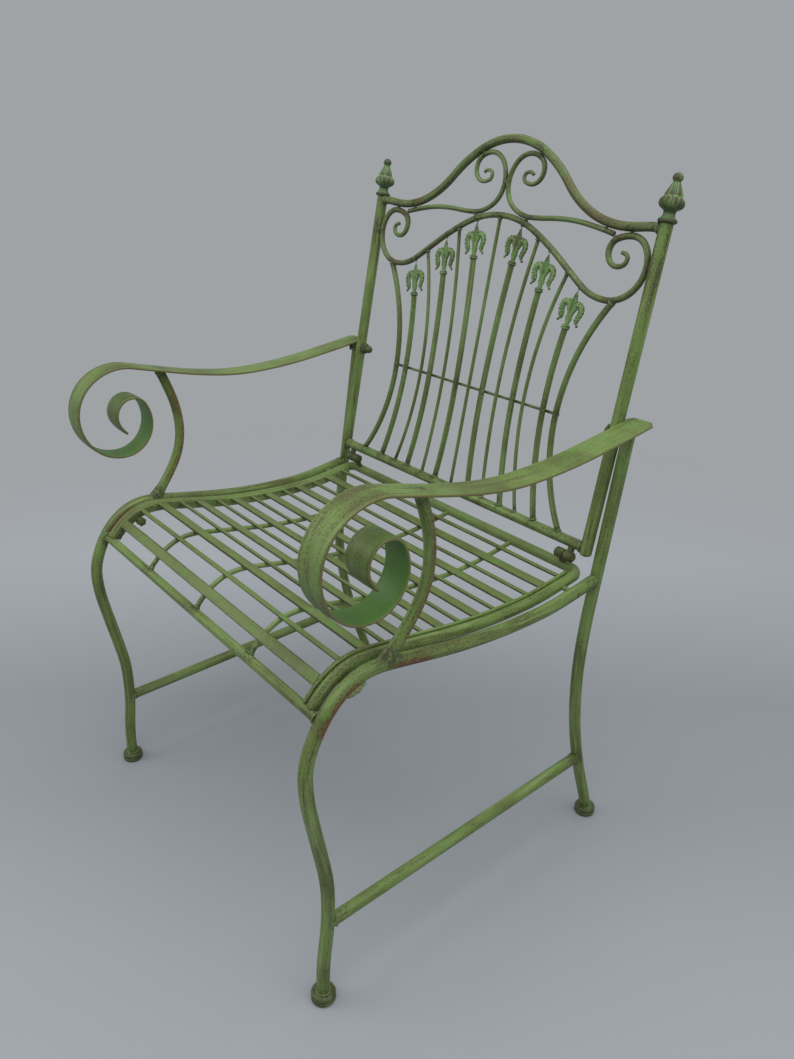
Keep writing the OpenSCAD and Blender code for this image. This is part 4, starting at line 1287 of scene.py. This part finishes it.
lumpy = ("flower", "finial", "foot", "weld", "acorn", "hinge", "sleeve")
clean_gap, dirt_reach = 0.005, 0.022
soft = 1.6
past_middle, side_fade = 0.0055, 0.004
full_crest, full_hollow = 0.12, 0.08

def facts(piece):
    mesh = piece.data
    count = len(mesh.vertices)
    points = read(mesh.vertices, "co")
    tight = np.array(joints)
    gap = np.sqrt(((points[:, None, :] - tight[None]) ** 2).sum(axis=2)).min(axis=1)
    dirt = np.clip(1 - (gap - clean_gap) / dirt_reach, 0, 1) ** 1.5
    if "weld" in piece.name:
        dirt = dirt * 0.45
    layer = mesh.attributes.get("along")
    marks = read(layer.data, "vector") if layer else np.zeros((count, 3))
    values = {"dirt": dirt}
    for name, store in (("rubbed", rubbed), ("rusty", rusty)):
        total = np.zeros(count)
        for x, y, z, radius, strength, side in store:
            far = np.sqrt(((points - (x, y, z)) ** 2).sum(axis=1))
            amount = strength * np.clip(soft - soft * far / (radius * soft), 0, 1)
            if side:
                amount = amount * np.clip((marks[:, 1] * side + past_middle) / side_fade, 0, 1)
            total = np.maximum(total, amount)
        values[name] = total if layer or "flower" in piece.name else total * 0.2
    cast = any(word in piece.name for word in lumpy)
    bulge = bulges(mesh, points) if cast else np.zeros(count)
    values["crest"] = np.clip(bulge / full_crest, 0, 1)
    values["hollow"] = np.clip(-bulge / full_hollow, 0, 1)
    # how far each point faces down; the paint darkens these points as painted shade
    values["under"] = np.clip(-read(mesh.vertex_normals, "vector")[:, 2], 0, 1)
    for name, value in values.items():
        fact = mesh.attributes.new(name, "FLOAT", "POINT")
        fact.data.foreach_set("value", value)

for piece in pieces.values():
    facts(piece)
print("facts written on", sum(len(p.data.vertices) for p in pieces.values()), "points")

# %% [markdown]
# ## Old green paint
# The finish is a rubbed antique green. Over brown primer lies a fresh leaf green, clouded with olive
# where the second coat was wiped off. Long streaks run with the bars, fine dark specks sit in the
# pores of the paint, and the crests and edges are rubbed to a pale tone or through to brown. The pale
# streaks along the bars are partly dry-brushed pale paint and partly painted highlight, and the sides
# that face down are darkened as painted shade. All of it comes from noises that run along each bar or
# fill the space it lies in, so every piece is different.

# %% Paint
leaf_green = linear(111, 136, 67)
bright_green = linear(94, 144, 56)
olive = linear(90, 98, 46)
dry_brown = linear(88, 74, 44)
# dark tone for soot, dirt and specks, and also for the painted shade on sides that face down
soot_and_painted_shade = linear(32, 32, 18)
# pale tone for dry-brushed paint and for painted highlight streaks
pale_rub_and_highlight = linear(150, 170, 108)
rust_red = linear(106, 42, 29)

def old_paint(name, fresh, olive_share, brown_share, specks, pale, along=True, edge=None,
              edge_tone=(62, 54, 34), rims=0.0, inner=None, gloss=0.36):
    mix = Recipe(name)
    where = mix.place("object")
    if along:
        streaks = mix.noise(mix.place("along", stretch=(12, 210, 210)), 1.0, 4.0, 0.6)
        grain = mix.noise(mix.place("along", stretch=(380, 640, 640), shift=(3, 0, 0)), 1.0, 3.0, 0.6)
    else:
        streaks = mix.noise(mix.place("object", stretch=(70, 70, 30)), 1.0, 4.0, 0.6)
        grain = mix.noise(where, 420, 3.0, 0.6)
    patches = mix.noise(where, 11, 3.0)
    clouds = mix.noise(where, 48, 4.0, 0.6)
    blots = mix.noise(where, 210, 4.0, 0.65)
    pores = mix.noise(where, 900, 2.0, 0.5)
    rubs = mix.fact("rubbed")
    dirt = mix.fact("dirt")
    mix.tone = fresh
    mix.cover(olive, patches, 0.62 - 0.3 * olive_share, 0.72 - 0.2 * olive_share, 0.8)
    mix.cover(bright_green, clouds, 0.54, 0.68, 0.55)
    # pale streaks along the bars: partly dry-brushed paint, partly painted highlight
    mix.cover(pale_rub_and_highlight, mix.plus(streaks, mix.times(grain, 0.5)), 0.77, 0.93, pale)
    wear = mix.plus(mix.times(mix.math("SUBTRACT", 1.0, streaks), 0.8), mix.times(grain, 0.6))
    begin = 0.84 - 0.16 * brown_share
    mix.cover(soot_and_painted_shade, wear, begin + 0.05, begin + 0.15, 0.7)
    wear = mix.plus(mix.plus(wear, mix.times(rubs, 0.15)), mix.times(dirt, 0.05))
    mix.cover(dry_brown, wear, begin, begin + 0.12, 0.62)
    pits = mix.plus(mix.plus(mix.times(pores, 0.6), mix.times(grain, 0.5)), mix.times(rubs, 0.05))
    mix.cover(soot_and_painted_shade, pits, 0.60, 0.70, 0.25 + 0.5 * specks)
    mix.cover(soot_and_painted_shade, blots, 0.62, 0.74, 0.3 * specks)
    mix.cover(soot_and_painted_shade, mix.times(dirt, mix.mask(blots, 0.36, 0.58)), 0.15, 0.9, 0.7)
    mix.cover(rust_red, mix.times(mix.fact("rusty"), mix.mask(grain, 0.34, 0.56)), 0.05, 0.45, 0.92)
    # painted shade: the sides that face down are darkened
    mix.cover(soot_and_painted_shade, mix.fact("under"), 0.1, 0.9, 0.62)
    if rims:
        crests = mix.times(mix.fact("crest"), mix.mask(clouds, 0.34, 0.50))
        mix.cover(linear(54, 46, 28), crests, 0.2, 0.8, rims)
        mix.cover(soot_and_painted_shade, mix.fact("hollow"), 0.15, 0.9, rims)
    if edge:
        apart = mix.add("ShaderNodeSeparateXYZ")
        mix.join(mix.place("along"), apart.inputs[0])
        if inner:
            mix.cover(inner, apart.outputs[1], 0.0003, 0.0012, 0.72)
        ragged = mix.plus(mix.math("ABSOLUTE", apart.outputs[2]),
                          mix.times(mix.math("SUBTRACT", blots, 0.5), 0.004))
        mix.cover(linear(*edge_tone), ragged, edge - 0.0014, edge - 0.0003, 0.8)
    mix.join(mix.tone, mix.skin.inputs["Base Color"])
    mix.join(mix.plus(gloss, mix.times(mix.plus(blots, rubs), 0.16)), mix.skin.inputs["Roughness"])
    bump = mix.add("ShaderNodeBump")
    bump.inputs["Strength"].default_value = 0.6
    bump.inputs["Distance"].default_value = 0.0006
    mix.join(mix.plus(mix.times(blots, 0.5), mix.times(grain, 0.5)), bump.inputs["Height"])
    mix.join(bump.outputs[0], mix.skin.inputs["Normal"])
    return mix.material

finishes = {
    "frame": old_paint("old_paint_frame", leaf_green, 0.5, 0.6, 0.8, 0.55),
    "arm": old_paint("old_paint_arm", leaf_green, 0.6, 0.45, 0.7, 0.25, edge=0.0185,
                     edge_tone=(112, 104, 60), inner=linear(62, 114, 34)),
    "slat": old_paint("old_paint_slat", linear(104, 122, 62), 0.5, 0.15, 0.3, 0.1, edge=0.0069),
    "back_rod": old_paint("old_paint_back", linear(100, 124, 66), 0.7, 0.55, 0.7, 0.4),
    "casting": old_paint("old_paint_cast", linear(112, 148, 84), 0.2, 0.2, 0.7, 0.3, along=False, rims=0.85),
    "foot": old_paint("old_paint_foot", linear(102, 122, 70), 0.6, 0.6, 0.9, 0.2, along=False, rims=0.6),
    "weld": old_paint("old_paint_weld", linear(128, 150, 92), 0.3, 0.35, 0.8, 0.4, along=False, rims=0.3),
    "hardware": old_paint("old_paint_hardware", linear(90, 106, 56), 0.7, 0.8, 0.9, 0.1, along=False,
                          rims=0.6, gloss=0.46),
}
print("finishes", list(finishes))

# %% Painting every piece
slots = {
    "frame": ("leg", "stretcher", "arm_post", "hoop", "strap", "front_bar", "support", "back_post",
              "bottom_rail"),
    "arm": ("arm_strip",),
    "slat": ("slat",),
    "back_rod": ("top_rail", "arch", "scroll", "side_bar", "cross", "spindle", "thin"),
    "casting": ("flower", "finial"),
    "foot": ("foot_pad",),
    "weld": ("weld", "sleeve"),
    "hardware": ("seat_bolt", "seat_nut", "arm_bolt", "hinge", "acorn"),
}
for name, piece in pieces.items():
    chosen = [slot for slot, words in slots.items() if any(word in name for word in words)]
    piece.data.materials.clear()
    piece.data.materials.append(finishes[chosen[-1]])
print("painted", len(pieces), "pieces in", len(finishes), "finishes")

# %% [markdown]
# ## The size of the chair
# The chair must not grow or shrink between the measured frame and this model, so the box that
# this model fills is printed.

# %% Size
bpy.context.view_layer.update()
low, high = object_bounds()
print("box", [round(n, 4) for n in (*low, *high)])
